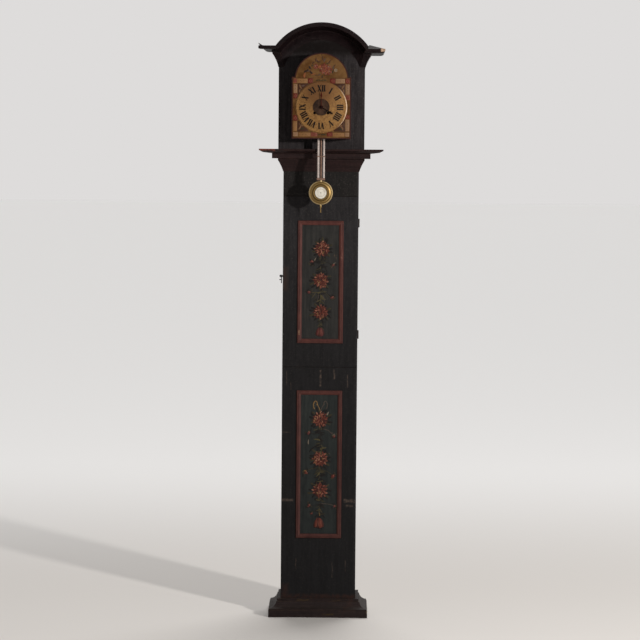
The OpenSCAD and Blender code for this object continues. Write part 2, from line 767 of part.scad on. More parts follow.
module front_plate() color("#b08a3c") facing(0, front_plate_back, centre_z) {
    translate(minute_wheel_at) cylinder(h = plate_t + 6, r = 1.2);
    linear_extrude(plate_t) difference() {
        plate_blank();
        circle(1.5 + seat);
        translate([0, suspension_h]) circle(1.2 + running_fit);
        translate(hammer_at) circle(1.5 + running_fit);
        for (x = [-winding_x, winding_x]) translate([x, -winding_drop] + click_at) circle(1.5 + seat);
    }
}

module back_plate() color("#b08a3c") facing(0, back_plate_back, centre_z) linear_extrude(plate_t)
    difference() {
        plate_blank();
        circle(1.5 + seat);
        translate([0, suspension_h]) circle(5);
        translate(hammer_at) circle(1.5 + running_fit);
        for (x = [-cock_foot_x, cock_foot_x]) translate([x, suspension_h - 4]) circle(1.5 + seat);
    }

module plate_pillars() color("#c9a04e") for (s = pillar_at) {
    p = plate_pillar(s);
    facing(p[0], back_plate_front, centre_z + p[1]) {
        cylinder(h = plate_gap, r = pillar_r);
        translate([0, 0, -plate_t - 3]) cylinder(h = plate_gap + 2 * plate_t + 6, r = 2);
        for (end = [-plate_t - 2.5, plate_gap + plate_t]) translate([0, 0, end])
            cylinder(h = 2.5, r = 3.5, $fn = 6);
    }
}

drum_r = 18.5;
drum_reach = back_plate_front + 6;
drum_l = plate_gap - 12;

// Hollow spring barrel with its toothed flange at one end
module barrel(x, flange_reach) {
    facing(x, drum_reach, winding_z) difference() {
        cylinder(h = drum_l, r = drum_r);
        translate([0, 0, 1.5]) cylinder(h = drum_l - 3, r = drum_r - 1.5);
        translate([0, 0, -1]) cylinder(h = drum_l + 2, r = winding_r + running_fit);
    }
    facing(x, flange_reach, winding_z) linear_extrude(2.5) difference() {
        polygon(gear_points(great_teeth, going_module));
        circle(winding_r + running_fit);
    }
}

time_flange = drum_reach - 2.5;
strike_flange = drum_reach + drum_l;

module spring_barrels() color("#c2a050") {
    barrel(winding_x, time_flange);
    barrel(-winding_x, strike_flange);
}

// An arbor between the plates with a pivot at each end
module train_arbor(at) {
    arbor(at[0], centre_z + at[1], back_plate_back, plate_gap + 2 * plate_t, pivot_r);
    arbor(at[0], centre_z + at[1], back_plate_front + moving_gap, plate_gap - 2 * moving_gap, arbor_r);
}

module on_train(at, reach) facing(at[0], reach, centre_z + at[1]) children();

// Radii of the escape wheel's tips, set back so that the pallets swing clear of it
escape_tip_r = 14.4;
escape_teeth = 30;
escape_root_r = 10.8;
function escape_points() = [for (i = [0 : escape_teeth - 1],
        p = [[escape_root_r, 0], [escape_tip_r, 0], [escape_tip_r, 0.12], [escape_root_r, 0.62]])
    let (a = 360 * (i + p[1]) / escape_teeth) p[0] * [cos(a), sin(a)]];

module going_train() color("#c2a050") {
    // Centre wheel, whose arbor carries the hands
    arbor(0, centre_z, back_plate_back, cannon_front - back_plate_back + 2, 1.5);
    on_train([0, 0], time_flange - 0.7)
        rotate(meshed(0, great_teeth, centre_leaves, direction([winding_x, -winding_drop], [0, 0])))
        pinion(centre_leaves, going_module, 4, 1.4);
    on_train([0, 0], front_plate_back - 2.8) wheel(80, 0.45, 1.5, 1.4);
    train_arbor(third_at);
    on_train(third_at, front_plate_back - 3.4) rotate(meshed(0, 80, 8, direction([0, 0], third_at)))
        pinion(8, 0.45, 2.8, press_r);
    on_train(third_at, back_plate_front + 12) wheel(80, 0.4, 1.4, press_r);
    train_arbor(escape_at);
    on_train(escape_at, back_plate_front + 11) rotate(meshed(0, 80, 8, direction(third_at, escape_at)))
        pinion(8, 0.4, 3.4, press_r);
    on_train(escape_at, back_plate_front + 3) linear_extrude(1.2) difference() {
        polygon(escape_points());
        circle(press_r);
        difference() {
            circle(9.6);
            circle(3.4);
            for (i = [0 : 3]) rotate(90 * i) translate([0, -0.8]) square([10, 1.6]);
        }
    }
}

module strike_train() color("#c2a050") {
    train_arbor(second_at);
    on_train(second_at, strike_flange - 0.5)
        rotate(meshed(0, great_teeth, centre_leaves, direction([-winding_x, -winding_drop], second_at)))
        pinion(centre_leaves, going_module, 3, press_r);
    on_train(second_at, back_plate_front + 3) wheel(72, 0.42, 1.5, press_r);
    train_arbor(pin_wheel_at);
    on_train(pin_wheel_at, back_plate_front + 2.2)
        rotate(meshed(0, 72, 8, direction(second_at, pin_wheel_at)))
        pinion(8, 0.42, 3.2, press_r);
    on_train(pin_wheel_at, back_plate_front + 16) wheel(60, 0.4, 1.5, press_r);
    for (i = [0 : 7]) on_train(pin_wheel_at + 10.8 * [cos(45 * i), sin(45 * i)], back_plate_front + 17.5)
        cylinder(h = 3, r = 0.5, $fn = 16);
    train_arbor(fly_at);
    on_train(fly_at, back_plate_front + 15.4) rotate(meshed(0, 60, 7, direction(pin_wheel_at, fly_at)))
        pinion(7, 0.4, 3, press_r);
    on_train(fly_at, back_plate_front + 21) rotate(20) translate([-8, -0.4, 0]) cube([16, 0.8, 12]);
    on_train(fly_at, back_plate_front + 20.6) cylinder(h = 12.8, r = 2);
}

// Winding squares and ratchets
ratchet_r = 9;
ratchet_teeth = 24;
ratchet_reach = front_plate_front + 1;
click_at = [0, -14];
function ratchet_points(s) = [for (i = [0 : ratchet_teeth - 1],
                                   p = [[ratchet_r - 1.4, 0], [ratchet_r, 0.92], [ratchet_r, 1]])
    let (a = s * 360 * (i + p[1]) / ratchet_teeth) p[0] * [cos(a), sin(a)]];

module winding_arbor(x) {
    arbor(x, winding_z, back_plate_back, front_plate_front - back_plate_back + 3.5, winding_r);
    facing(x, front_plate_front + 3.5, winding_z) cylinder(h = 8, r = 2.9, $fn = 4);
    facing(x, ratchet_reach, winding_z) linear_extrude(2) polygon(ratchet_points(1));
}

module time_arbor() color("#8f9296") winding_arbor(winding_x);
module strike_arbor() color("#8f9296") winding_arbor(-winding_x);

// Each click turns on a screw below its ratchet, with its nose just clear of the teeth
module clicks() color("#8f9296") for (x = [-winding_x, winding_x])
    facing(x + click_at[0], ratchet_reach, winding_z + click_at[1]) {
        linear_extrude(2) difference() {
            union() {
                circle(3);
                polygon([[-3, 0], [3, 0], [1.2, 4.6], [-0.6, 4.6]]);
            }
            circle(1.5 + seat);
        }
        translate([0, 0, -ratchet_reach + front_plate_back]) cylinder(h = 6, r = 1.5);
        translate([0, 0, 2]) cylinder(h = 1.2, r = 2.6);
    }

// Motion work: the hour wheel turns once for twelve turns of the cannon pinion
cannon_leaves = 12;
minute_teeth = 36;
minute_leaves = 10;
hour_teeth = 40;
motion_module = 0.5;
motion_distance = motion_module * (cannon_leaves + minute_teeth) / 2;
hour_module = 2 * motion_distance / (minute_leaves + hour_teeth);
minute_wheel_at = [0, motion_distance];
motion_reach = front_plate_front + 1;
hour_pipe_r = 3.4;

module cannon_pinion() color("#c9a04e") facing(0, motion_reach, centre_z) difference() {
    union() {
        rotate(90 + 180 / cannon_leaves) linear_extrude(2)
            polygon(gear_points(cannon_leaves, motion_module));
        cylinder(h = cannon_front - motion_reach, r = cannon_pipe_r);
    }
    translate([0, 0, -1]) cylinder(h = cannon_front - motion_reach + 2, r = 1.5 + running_fit);
}

module minute_wheel() color("#c9a04e")
    facing(0, motion_reach, centre_z + motion_distance) difference() {
        union() {
            rotate(90) wheel(minute_teeth, motion_module, 1.2, 1);
            translate([0, 0, 1]) rotate(90 + 180 / minute_leaves)
                linear_extrude(3.2) polygon(gear_points(minute_leaves, hour_module));
        }
        translate([0, 0, -1]) cylinder(h = 6.2, r = 1.2 + running_fit);
    }

module hour_wheel() color("#c9a04e") {
    facing(0, motion_reach + 2.4, centre_z) difference() {
        union() {
            rotate(90) linear_extrude(1.4) polygon(gear_points(hour_teeth, hour_module));
            cylinder(h = hour_hand_back + hand_t - motion_reach - 2.4, r = hour_pipe_r);
        }
        translate([0, 0, -1]) cylinder(h = hour_hand_back, r = cannon_pipe_r + running_fit);
    }
}

// Hands: a slim leaf on a round boss, drawn pointing up
module hand(l, boss, hole, wide) difference() {
    union() {
        cylinder(h = hand_t, r = boss);
        linear_extrude(hand_t) polygon([[-1.6, -boss + 1], [-1.1, l * 0.55], [-wide, l * 0.72], [0, l],
            [wide, l * 0.72], [1.1, l * 0.55], [1.6, -boss + 1]]);
    }
    translate([0, 0, -1]) cylinder(h = hand_t + 2, r = hole);
}

cannon_pipe_r = 2.3;
module minute_hand() color("#3a2018") facing(0, minute_hand_back, centre_z)
    hand(minute_hand_l, 5, cannon_pipe_r + seat, 3);

hour_angle = 120;
module hour_hand() color("#3a2018") facing(0, hour_hand_back, centre_z) rotate(-hour_angle)
    hand(hour_hand_l, 6.5, hour_pipe_r + seat, 4.2);

module hand_nut() color("#c9a04e") facing(0, cannon_front, centre_z) difference() {
    union() {
        cylinder(h = nut_t - 1, r = 3.6);
        translate([0, 0, nut_t - 1]) cylinder(h = 1, r1 = 3.6, r2 = 2);
    }
    translate([0, 0, -1]) cylinder(h = 3, r = 1.5 + seat);
}

// The brackets that hold the movement to the hood's board
bracket_x = plate_w / 2 - 5;
module movement_brackets() color("#7d7468") both_sides() {
    low = centre_z - 48;
    board([bracket_x - 1.5, front(back_plate_back), low], [bracket_x + 1.5, front(hood_reach), low + 14]);
    board([bracket_x - 1.5, front(hood_reach + 3), low - 16], [bracket_x + 12, front(hood_reach), low + 30]);
    board([bracket_x - 8, front(back_plate_back), low],
          [bracket_x + 1.5, front(back_plate_back - 2.5), low + 14]);
}

// Suspension cock: two feet on the back plate, a bridge and the slit stud above the spring
cock_foot_x = 16;
cock_reach = back_plate_back - 6;
stud_back = pendulum_reach - 5;
strip_up = 5;
strip_half_t = 0.15;
slit_half_w = strip_half_t + seat + strip_up * sin(swing);
module suspension_cock() color("#b08a3c") difference() {
    union() {
        for (x = [-cock_foot_x, cock_foot_x]) facing(x, cock_reach, suspension_z - 4) {
            cylinder(h = back_plate_back - cock_reach, r = 4);
            cylinder(h = back_plate_front - cock_reach, r = 1.5);
        }
        facing(0, cock_reach - 2, suspension_z - 4) linear_extrude(2)
            translate([-cock_foot_x - 4, -5]) square([2 * cock_foot_x + 8, 18]);
        facing(0, stud_back, suspension_z + 5) linear_extrude(cock_reach - 1 - stud_back)
            translate([-4, -4]) square([8, 8]);
    }
    facing(0, cock_reach - 4, suspension_z) cylinder(h = 6, r = 1.2 + running_fit);
    facing(0, stud_back - 1, suspension_z + 4) linear_extrude(cock_reach - 1 - stud_back)
        translate([-slit_half_w, -6]) square([2 * slit_half_w, 9]);
}

// Gong: a flat coil of wire built of half turns whose centres alternate
gong_wire_r = 1.5;
gong_r = 56;
gong_step = 4;
gong_turns = 8;
gong_z = centre_z + 8;
gong_reach = hood_reach + 22;
module gong() color("#5c5f66") {
    for (i = [0 : gong_turns - 1]) {
        r = gong_r - gong_step * i;
        up = i % 2 == 0;
        facing(up ? 0 : -gong_step, gong_reach, gong_z) intersection() {
            rotate_extrude($fn = 128) translate([r, 0]) circle(r = gong_wire_r, $fn = 24);
            translate([-gong_r - 5, up ? 0 : -gong_r - 5, -5]) cube([2 * gong_r + 10, gong_r + 5, 10]);
        }
    }
    facing(gong_r, hood_reach, gong_z) {
        translate([-7, -18, 0]) cube([14, 20, 17]);
        translate([-4, -14, 17]) cube([8, 14, 10]);
    }
}

// Hammer on its own arbor, resting beside the coil
hammer_l = 66;
hammer_x = -12;
arm_reach = gong_reach + gong_wire_r + 1;
module hammer() color("#8f9296") {
    arbor(hammer_at[0], centre_z + hammer_at[1], arm_reach, front_plate_front - arm_reach, 1.5);
    facing(hammer_at[0], arm_reach, centre_z + hammer_at[1]) {
        cylinder(h = 4, r = 4);
        rotate(atan(hammer_x / hammer_l)) translate([-1.5, -hammer_l, 0.5]) cube([3, hammer_l, 3]);
    }
    facing(hammer_at[0] + hammer_x, gong_reach, centre_z + hammer_at[1] - hammer_l)
        rotate([0, 90, 0]) cylinder(h = 11, r = 5, center = true);
    facing(hammer_at[0], back_plate_front + 18, centre_z + hammer_at[1]) {
        cylinder(h = 3, r = 3);
        rotate(-62) translate([0, -0.8, 0]) cube([6.5, 1.6, 2]);
    }
}

// Pendulum

bar_t = 8;
rating_r = 1.6;
rating_tail = 27;
upper_bar_z = suspension_z - 60;
middle_bar_z = ledge_z - 28;
lower_bar_z = bob_z + bob_r + 2 + bar_t;
grid_x = grid_w / 2 - steel_rod_r;

spring_front = cock_reach - 2 - moving_gap;
spring_back = spring_front - 4;
module suspension_spring() color("#9aa0a8") {
    board([-strip_half_t, front(spring_front), suspension_z - 18],
          [strip_half_t, front(spring_back), suspension_z + strip_up]);
    board([-4, front(pendulum_reach + 3), suspension_z - 24],
          [4, front(pendulum_reach - 3), suspension_z - 16]);
    board([-2.5, front(pendulum_reach + 2), upper_bar_z + bar_t],
          [2.5, front(pendulum_reach - 2), suspension_z - 24]);
}

// Anchor, its arbor and the crutch that follows the pendulum rod
anchor_reach = back_plate_front + 2.6;
pallet_r = escape_tip_r + 2.1;
pallet_angle = 51;
module pallet_anchor() color("#8f9296") {
    arbor(0, suspension_z, cock_reach - 2, front_plate_front - cock_reach + 2, 1.2);
    facing(0, anchor_reach, suspension_z) {
        cylinder(h = 2, r = 3.4);
        for (s = [0, 1]) mirror([s, 0, 0]) linear_extrude(2) {
            tip = pallet_r * [sin(pallet_angle), cos(pallet_angle)] + escape_at - [0, suspension_h];
            polygon([[0, 3], [13, -3], tip + [3, 3], tip + [1.6, 0.3], tip, tip + [0.6, 4],
                     [11, -5.5], [0, -3]]);
        }
    }
    facing(0, cock_reach + 1, suspension_z) {
        cylinder(h = 3, r = 3.4);
        translate([-1.2, -40, 0.5]) cube([2.4, 40, 1.6]);
    }
    facing(0, pendulum_reach + 2, suspension_z - 38)
        cylinder(h = cock_reach - pendulum_reach, r = 1.2);
}

module steel_rods() color("#c4c2bc") both_sides()
    translate([grid_x, front(pendulum_reach), lower_bar_z])
        cylinder(h = upper_bar_z - lower_bar_z, r = steel_rod_r);

module brass_rod() color("#c08a4e")
    translate([0, front(pendulum_reach), lower_bar_z])
        cylinder(h = upper_bar_z - lower_bar_z, r = brass_rod_r);

// Cross bars: a block at each end of the rods and a thin bridge that they pass through
bar_half = 6;
module gridiron_bars() color("#b58a4a") difference() {
    for (bar = [[upper_bar_z, bar_t], [middle_bar_z, 3], [lower_bar_z - bar_t, bar_t]])
        board([-grid_w / 2 - 0.8, front(pendulum_reach + bar_half), bar[0]],
              [grid_w / 2 + 0.8, front(pendulum_reach - bar_half), bar[0] + bar[1]]);
    for (x = [-grid_x, 0, grid_x]) translate([x, front(pendulum_reach), lower_bar_z])
        cylinder(h = upper_bar_z - lower_bar_z, r = (x == 0 ? brass_rod_r : steel_rod_r) + seat);
    translate([0, front(pendulum_reach), lower_bar_z - bar_t - 1])
        cylinder(h = bar_t + 1, r = rating_r + seat);
}

// Lens-shaped bob with raised rings round a recess for the enamel disc
module bob_section() {
    edge = 2.2;
    polygon([[0, -bob_half_t], [bob_r * 0.75, -bob_half_t * 0.75], [bob_r, -edge / 2], [bob_r, edge / 2],
             [bob_r - 2.5, 3.2], [bob_r - 5, 3.4], [bob_r - 6.5, 2.4], [enamel_r + 8, 4.6],
             [enamel_r + 6.5, 6], [enamel_r + 3.5, 6.2], [enamel_r + 2, 5], [enamel_r, 5],
             [enamel_r, 3.5], [0, 3.5]]);
}

module pendulum_bob() color("#c9a04e") difference() {
    union() {
        facing(0, pendulum_reach, bob_z) rotate_extrude($fn = 128) bob_section();
        translate([0, front(pendulum_reach), bob_z + bob_r - 3]) cylinder(h = 5, r = 4);
    }
    translate([0, front(pendulum_reach), bob_z - bob_r - 3])
        cylinder(h = 2 * bob_r + 12, r = rating_r + seat);
}

module enamel_disc() color("#f2efe6") facing(0, pendulum_reach + 3.5, bob_z)
    cylinder(h = 2.2, r1 = enamel_r - 0.2, r2 = enamel_r - 1.4);

// Threaded rod from the lower block through the bob, with the nut that the bob rests on
module rating_nut() color("#c9a04e") translate([0, front(pendulum_reach), bob_z - bob_r]) {
    translate([0, 0, -rating_tail]) cylinder(h = rating_tail + 2 * bob_r + 2 + bar_t, r = rating_r);
    translate([0, 0, -9.3]) cylinder(h = 9, r = 3.5);
    translate([0, 0, -rating_tail]) sphere(r = 2, $fn = 32);
}

back_board();
trunk_side_left();
trunk_side_right();
trunk_floor();
lower_front_board();
lower_panel_frame();
top_rail();
plinth_moulding();
ledge_board();
ledge_mouldings();
case_hinge_leaves();
hinge_pins();
latch_screw();
hood_dowels();
door_board();
door_panel_frame();
door_hinge_leaves();
latch_peg();
latch_hook();
hood_front_board();
hood_side_left();
hood_side_right();
hood_roof();
arch_moulding();
hood_cornice_left();
hood_cornice_right();
hood_base_rails();
clock_box();
clock_box_floor();
dial_plate();
dial_nails();
chapter_disc();
centre_disc();
movement_brackets();
front_plate();
back_plate();
plate_pillars();
spring_barrels();
going_train();
strike_train();
clicks();
suspension_cock();
gong();
minute_hand();
cannon_pinion();
hand_nut();
hour_hand();
hour_wheel();
minute_wheel();
time_arbor();
strike_arbor();
hammer();
suspension_spring();
pallet_anchor();
steel_rods();
brass_rod();
gridiron_bars();
pendulum_bob();
enamel_disc();
rating_nut();
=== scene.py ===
import random
from math import atan2, cos, degrees, hypot, radians, sin, sqrt

import bmesh
import bpy
from mathutils import Matrix, Vector
from mathutils.bvhtree import BVHTree


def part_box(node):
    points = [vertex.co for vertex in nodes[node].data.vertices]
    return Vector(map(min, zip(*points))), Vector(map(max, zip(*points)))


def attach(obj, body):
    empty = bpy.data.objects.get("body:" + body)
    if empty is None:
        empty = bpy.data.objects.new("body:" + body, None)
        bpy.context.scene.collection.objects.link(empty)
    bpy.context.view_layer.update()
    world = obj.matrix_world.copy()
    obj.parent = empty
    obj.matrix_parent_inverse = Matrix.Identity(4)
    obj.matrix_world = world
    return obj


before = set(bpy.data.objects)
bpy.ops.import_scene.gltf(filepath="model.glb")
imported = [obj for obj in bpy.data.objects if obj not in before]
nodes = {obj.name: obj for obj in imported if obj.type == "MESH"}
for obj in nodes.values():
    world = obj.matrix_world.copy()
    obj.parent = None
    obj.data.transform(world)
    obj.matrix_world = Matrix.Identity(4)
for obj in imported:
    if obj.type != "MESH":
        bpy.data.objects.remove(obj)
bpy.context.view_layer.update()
mm = 0.001  # the painted ornament is given in millimetres
bpy.context.scene.view_settings.view_transform = "Standard"
print("clock loaded:", len(nodes), "nodes")

viewpoint = {
    "side": 0.09,       # metres to the right of the clock's middle
    "distance": 8.945,  # in front of the trunk
    "height": 1.725,
    "pitch": -4,
    "yaw": 0.577,
    "roll": 0.46,       # the clock leans to the right at its top
    "lens": 136.97,
    "sensor": 36,
    "reach": 80,        # metres that the camera sees
}


def newObject(name, data):
    added = bpy.data.objects.new(name, data)
    bpy.context.scene.collection.objects.link(added)
    return added


def makeCamera(v):
    data = bpy.data.cameras.new("photoCamera")
    data.sensor_width, data.lens, data.clip_end = v["sensor"], v["lens"], v["reach"]
    camera = newObject("photoCamera", data)
    turn = (Matrix.Rotation(radians(v["yaw"]), 4, "Z")
            @ Matrix.Rotation(radians(90 + v["pitch"]), 4, "X")
            @ Matrix.Rotation(radians(v["roll"]), 4, "Z"))
    camera.matrix_world = Matrix.Translation((v["side"], -v["distance"], v["height"])) @ turn
    bpy.context.scene.camera = camera


makeCamera(viewpoint)


def srgb(*levels):
    def linear(c):
        return c / 12.92 if c <= 0.04045 else ((c + 0.055) / 1.055) ** 2.4
    return tuple(linear(level / 255) for level in levels) + (1,)


def shades(**tones):
    return {name: srgb(*levels) for name, levels in tones.items()}


# Node helpers: each adds one node, in the tree of the sockets it is given, and gives back what it puts out
def feed(sockets, values):
    for name, value in values.items():
        if isinstance(value, bpy.types.NodeSocket):
            value.id_data.links.new(value, sockets[name])
        else:
            sockets[name].default_value = value


def put(tree, kind, values=None, **settings):
    node = tree.nodes.new("ShaderNode" + kind)
    for name, value in settings.items():
        setattr(node, name, value)
    feed(node.inputs, values or {})
    return node.outputs


def combine(kind, operation, values, **settings):
    tree = next(value.id_data for value in values if isinstance(value, bpy.types.NodeSocket))
    return put(tree, kind, dict(enumerate(values)), operation=operation, **settings)


def maths(operation, *values, clamp=False):
    return combine("Math", operation, values, use_clamp=clamp)[0]


def times(*values, clamp=False):
    return maths("MULTIPLY", *values, clamp=clamp)


def plus(*values, clamp=False):
    return maths("ADD", *values, clamp=clamp)


def minus(*values):
    return maths("SUBTRACT", *values)


def vectors(operation, *values):
    return combine("VectorMath", operation, values)[
        "Value" if operation in ("LENGTH", "DOT_PRODUCT") else "Vector"]


def dimmed(colour, share):
    return put(colour.id_data, "VectorMath", {0: colour, 3: share}, operation="SCALE")[0]


def split(vector):
    return put(vector.id_data, "SeparateXYZ", {0: vector})


def blendColour(mask, first, second):
    return put(mask.id_data, "Mix", {0: mask, 6: first, 7: second}, data_type="RGBA")[2]


def lay(colour, mask, share, tone, clamp=False):  # lays a tone over the colour where the mask is
    return blendColour(times(mask, share, clamp=clamp), colour, tone)


def spread(value, low, high, toLow=0, toHigh=1, kind="SMOOTHSTEP"):
    return put(value.id_data, "MapRange", {0: value, 1: low, 2: high, 3: toLow, 4: toHigh},
               interpolation_type=kind)[0]


def noise(vector, scale, detail=3, rough=0.5, coloured=False):
    return put(vector.id_data, "TexNoise", {"Vector": vector, "Scale": scale, "Detail": detail,
                                            "Roughness": rough})[1 if coloured else 0]


def objectCoords(tree):
    return put(tree, "TexCoord")["Object"]


def bump(height, strength, distance, **under):
    return put(height.id_data, "Bump", {"Height": height, "Strength": strength, "Distance": distance,
                                        **under})[0]


def newMaterial(name):
    material = bpy.data.materials.new(name)
    material.use_nodes = True
    tree = material.node_tree
    return material, tree, tree.nodes["Principled BSDF"].inputs


lamps = {
    "key": {"kind": "AREA", "place": (4.3, -5.2, 2.35), "watts": 440, "size": 0.4,
            "colour": (1, 0.985, 0.96)},
    "fill": {"kind": "AREA", "place": (-4.4, -5, 2.2), "watts": 7, "size": 3,
             "colour": (0.95, 0.97, 1)},
    "above": {"kind": "SUN", "place": (0.6, 3, 6), "watts": 1.9, "size": 0.7,
              "colour": (1, 1, 1)},
}
aim = Vector((0, 0.05, 1.3))  # where the lamps point
surround = {"ambient": 0.185, "light": (1, 1, 1, 1), "backdrop": srgb(222, 220, 219)}


def makeLamps(values):
    for name, v in values.items():
        data = bpy.data.lights.new(name + "Lamp", v["kind"])
        data.energy, data.color = v["watts"], v["colour"]
        if v["kind"] == "SUN":
            data.angle = v["size"]
        else:
            data.shape, data.size = "DISK", v["size"]
        lamp = newObject(name + "Lamp", data)
        lamp.location = v["place"]
        lamp.rotation_euler = (aim - Vector(v["place"])).to_track_quat("-Z", "Y").to_euler()


def makeSurround(v):  # the backdrop's colour is only seen: the light on the clock is the ambient one
    world = bpy.data.worlds.new("studio")
    bpy.context.scene.world = world
    world.use_nodes = True
    tree = world.node_tree
    tree.nodes.clear()
    path = put(tree, "LightPath")
    direct = maths("MAXIMUM", path["Is Camera Ray"], path["Is Glossy Ray"])
    seen = maths("MAXIMUM", direct, path["Is Transmission Ray"])
    ambient = put(tree, "Background", {"Color": v["light"], "Strength": v["ambient"]})[0]
    backdrop = put(tree, "Background", {"Color": v["backdrop"], "Strength": 1})[0]
    mixed = put(tree, "MixShader", {0: seen, 1: ambient, 2: backdrop})[0]
    put(tree, "OutputWorld", {"Surface": mixed})


makeLamps(lamps)
makeSurround(surround)

floorValues = {"size": 300, "colour": srgb(212, 207, 202), "far": srgb(254, 252, 250), "roughness": 0.8,
               "gloss": 0.1, "fade": (0.3, 4.5)}  # painted light: it grows lighter behind the clock, where the lamps light it less, like the backdrop


def meshPiece(name, bm, material):
    mesh = bpy.data.meshes.new(name)
    bm.to_mesh(mesh)
    bm.free()
    mesh.materials.append(material)
    return newObject(name, mesh)


def makeFloor(v):
    bm = bmesh.new()
    bmesh.ops.create_grid(bm, x_segments=1, y_segments=1, size=v["size"] / 2)
    material, tree, surface = newMaterial("paleFloor")
    # painted light: lighter behind the clock, where the lamps' light falls off
    back = spread(split(objectCoords(tree))["Y"], *v["fade"])
    feed(surface, {"Base Color": blendColour(back, v["colour"], v["far"]),
                   "Roughness": v["roughness"], "Specular IOR Level": v["gloss"]})
    floor = meshPiece("floor", bm, material)


makeFloor(floorValues)
print("camera, lamps and floor made")


# Shader groups: what several materials share. Each is built by a function that returns its outputs
def newGroup(name, build, **inputs):
    tree = bpy.data.node_groups.new(name, "ShaderNodeTree")
    for label, value in inputs.items():
        kind = "NodeSocketVector" if isinstance(value, tuple) else "NodeSocketFloat"
        tree.interface.new_socket(label, in_out="INPUT", socket_type=kind).default_value = value
    outputs = build(tree, tree.nodes.new("NodeGroupInput").outputs)
    for label in outputs:
        kind = "NodeSocketVector" if label == "Normal" else "NodeSocketFloat"
        tree.interface.new_socket(label, in_out="OUTPUT", socket_type=kind)
    feed(tree.nodes.new("NodeGroupOutput").inputs, outputs)
    return tree


def useGroup(tree, group, **values):
    return put(tree, "Group", values, node_tree=group)


def buildGrain(tree, given):  # streaks that run the way that the stretch is small
    coords = objectCoords(tree)
    sway = noise(coords, 5, 2, coloured=True)
    swayed = vectors("MULTIPLY_ADD", sway, (0.02, 0.02, 0.02), coords)
    drawn = vectors("MULTIPLY", swayed, given["Stretch"])
    halfDrawn = vectors("MULTIPLY", swayed, (1, 1, 0.4))
    fine = noise(drawn, times(given["Fineness"], 420), 3, 0.6)
    broad = noise(drawn, times(given["Fineness"], 130), 4, 0.62)
    mottle = spread(noise(halfDrawn, 64, 6, 0.72), 0.34, 0.68)
    return {
        "Streaks": plus(times(spread(broad, 0.32, 0.7), 0.55), times(mottle, 0.45)),
        "Pores": spread(fine, 0.52, 0.72),
        "Flecks": spread(noise(coords, 380, 2), 0.6, 0.72),
        "Breaks": spread(noise(coords, 75, 5, 0.75), 0.4, 0.58),
        "Height": plus(times(broad, 0.7), times(fine, 0.3)),
    }


def buildWornPaint(tree, given):  # soft rubbed clouds and small sharp chips
    coords = objectCoords(tree)
    drawn = vectors("MULTIPLY", coords, given["Stretch"])
    flakes = plus(noise(drawn, 95, 5, 0.7), noise(coords, 6.5, 2))

    def above(value, start, share, width):  # more of it the larger the share
        edge = minus(start, times(given[share], 0.3))
        return spread(value, edge, plus(edge, width), kind="LINEAR")

    return {"Rub": above(noise(drawn, 13, 6, 0.66), 0.78, "Rubbed", 0.12),
            "Chip": above(flakes, 1.42, "Chipped", 0.03)}


def buildEdgeWear(tree, given):  # where a rounded edge's normal leaves the face's own
    rounded = put(tree, "Bevel", {"Radius": given["Radius"]}, samples=6)[0]
    same = vectors("DOT_PRODUCT", rounded, put(tree, "NewGeometry")["Normal"])
    turned = times(minus(1, same), 5)
    rag = spread(noise(objectCoords(tree), given["Ragged"], 4, 0.7), 0.38, 0.62)
    broken = times(turned, rag)
    return {"Mask": times(broken, given["Amount"], clamp=True), "Normal": rounded}


def buildDust(tree, given):  # lies on what faces up
    up = split(put(tree, "NewGeometry")["Normal"])["Z"]
    patches = spread(noise(objectCoords(tree), 22, 5, 0.65), 0.3, 0.7, 0.35, 1)
    lying = times(spread(up, 0.45, 0.95), patches)
    return {"Mask": times(lying, given["Amount"], clamp=True)}


def buildZone(tree, given):  # one inside a box, with soft sides that wander a little
    halves = (0.5, 0.5, 0.5)
    coords = objectCoords(tree)
    wander = vectors("SUBTRACT", noise(coords, 45, coloured=True), halves)
    moved = vectors("MULTIPLY_ADD", wander, (0.008, 0.008, 0.008), coords)
    centre = vectors("MULTIPLY", vectors("ADD", given["Low"], given["High"]), halves)
    half = vectors("MULTIPLY", vectors("SUBTRACT", given["High"], given["Low"]), halves)
    away = vectors("ABSOLUTE", vectors("SUBTRACT", moved, centre))
    inside = split(vectors("SUBTRACT", half, away))
    least = maths("MINIMUM", maths("MINIMUM", inside["X"], inside["Y"]), inside["Z"])
    return {"Mask": maths("DIVIDE", least, given["Soft"], clamp=True)}


def buildTarnish(tree, given):  # cloudy dulling with fine specks
    coords = objectCoords(tree)
    cloud = noise(coords, given["Scale"], 6, 0.65)
    specks = noise(coords, 900, 2)
    return {"Mask": times(spread(cloud, 0.35, 0.7), given["Amount"]),
            "Specks": spread(specks, 0.66, 0.74),
            "Height": plus(times(cloud, 0.6), times(specks, 0.4))}


def buildBand(tree, given):  # one between two radii about an axis that runs front to back
    away = vectors("SUBTRACT", objectCoords(tree), given["Centre"])
    far = vectors("LENGTH", vectors("MULTIPLY", away, (1, 0, 1)))
    inside = maths("MINIMUM", minus(far, given["Inner"]), minus(given["Outer"], far))
    return {"Mask": maths("DIVIDE", inside, given["Soft"], clamp=True)}


woodGrain = newGroup("woodGrain", buildGrain, Stretch=(1, 1, 0.04), Fineness=1)
wornPaint = newGroup("wornPaint", buildWornPaint, Rubbed=0.3, Chipped=0.2, Stretch=(1, 1, 0.35))
edgeWear = newGroup("edgeWear", buildEdgeWear, Radius=0.002, Amount=0.6, Ragged=60)
restingDust = newGroup("restingDust", buildDust, Amount=0.5)
paintedZone = newGroup("paintedZone", buildZone, Low=(0, 0, 0), High=(1, 1, 1), Soft=0.002)
tarnish = newGroup("tarnish", buildTarnish, Scale=60, Amount=0.5)
radialBand = newGroup("radialBand", buildBand, Centre=(0, 0, 0), Inner=0.01, Outer=0.02, Soft=0.001)
print("shader groups made")

upGrain, acrossGrain, deepGrain = (1, 1, 0.035), (0.035, 1, 1), (1, 0.035, 1)
stripGrain = (0.4, 1, 0.12)
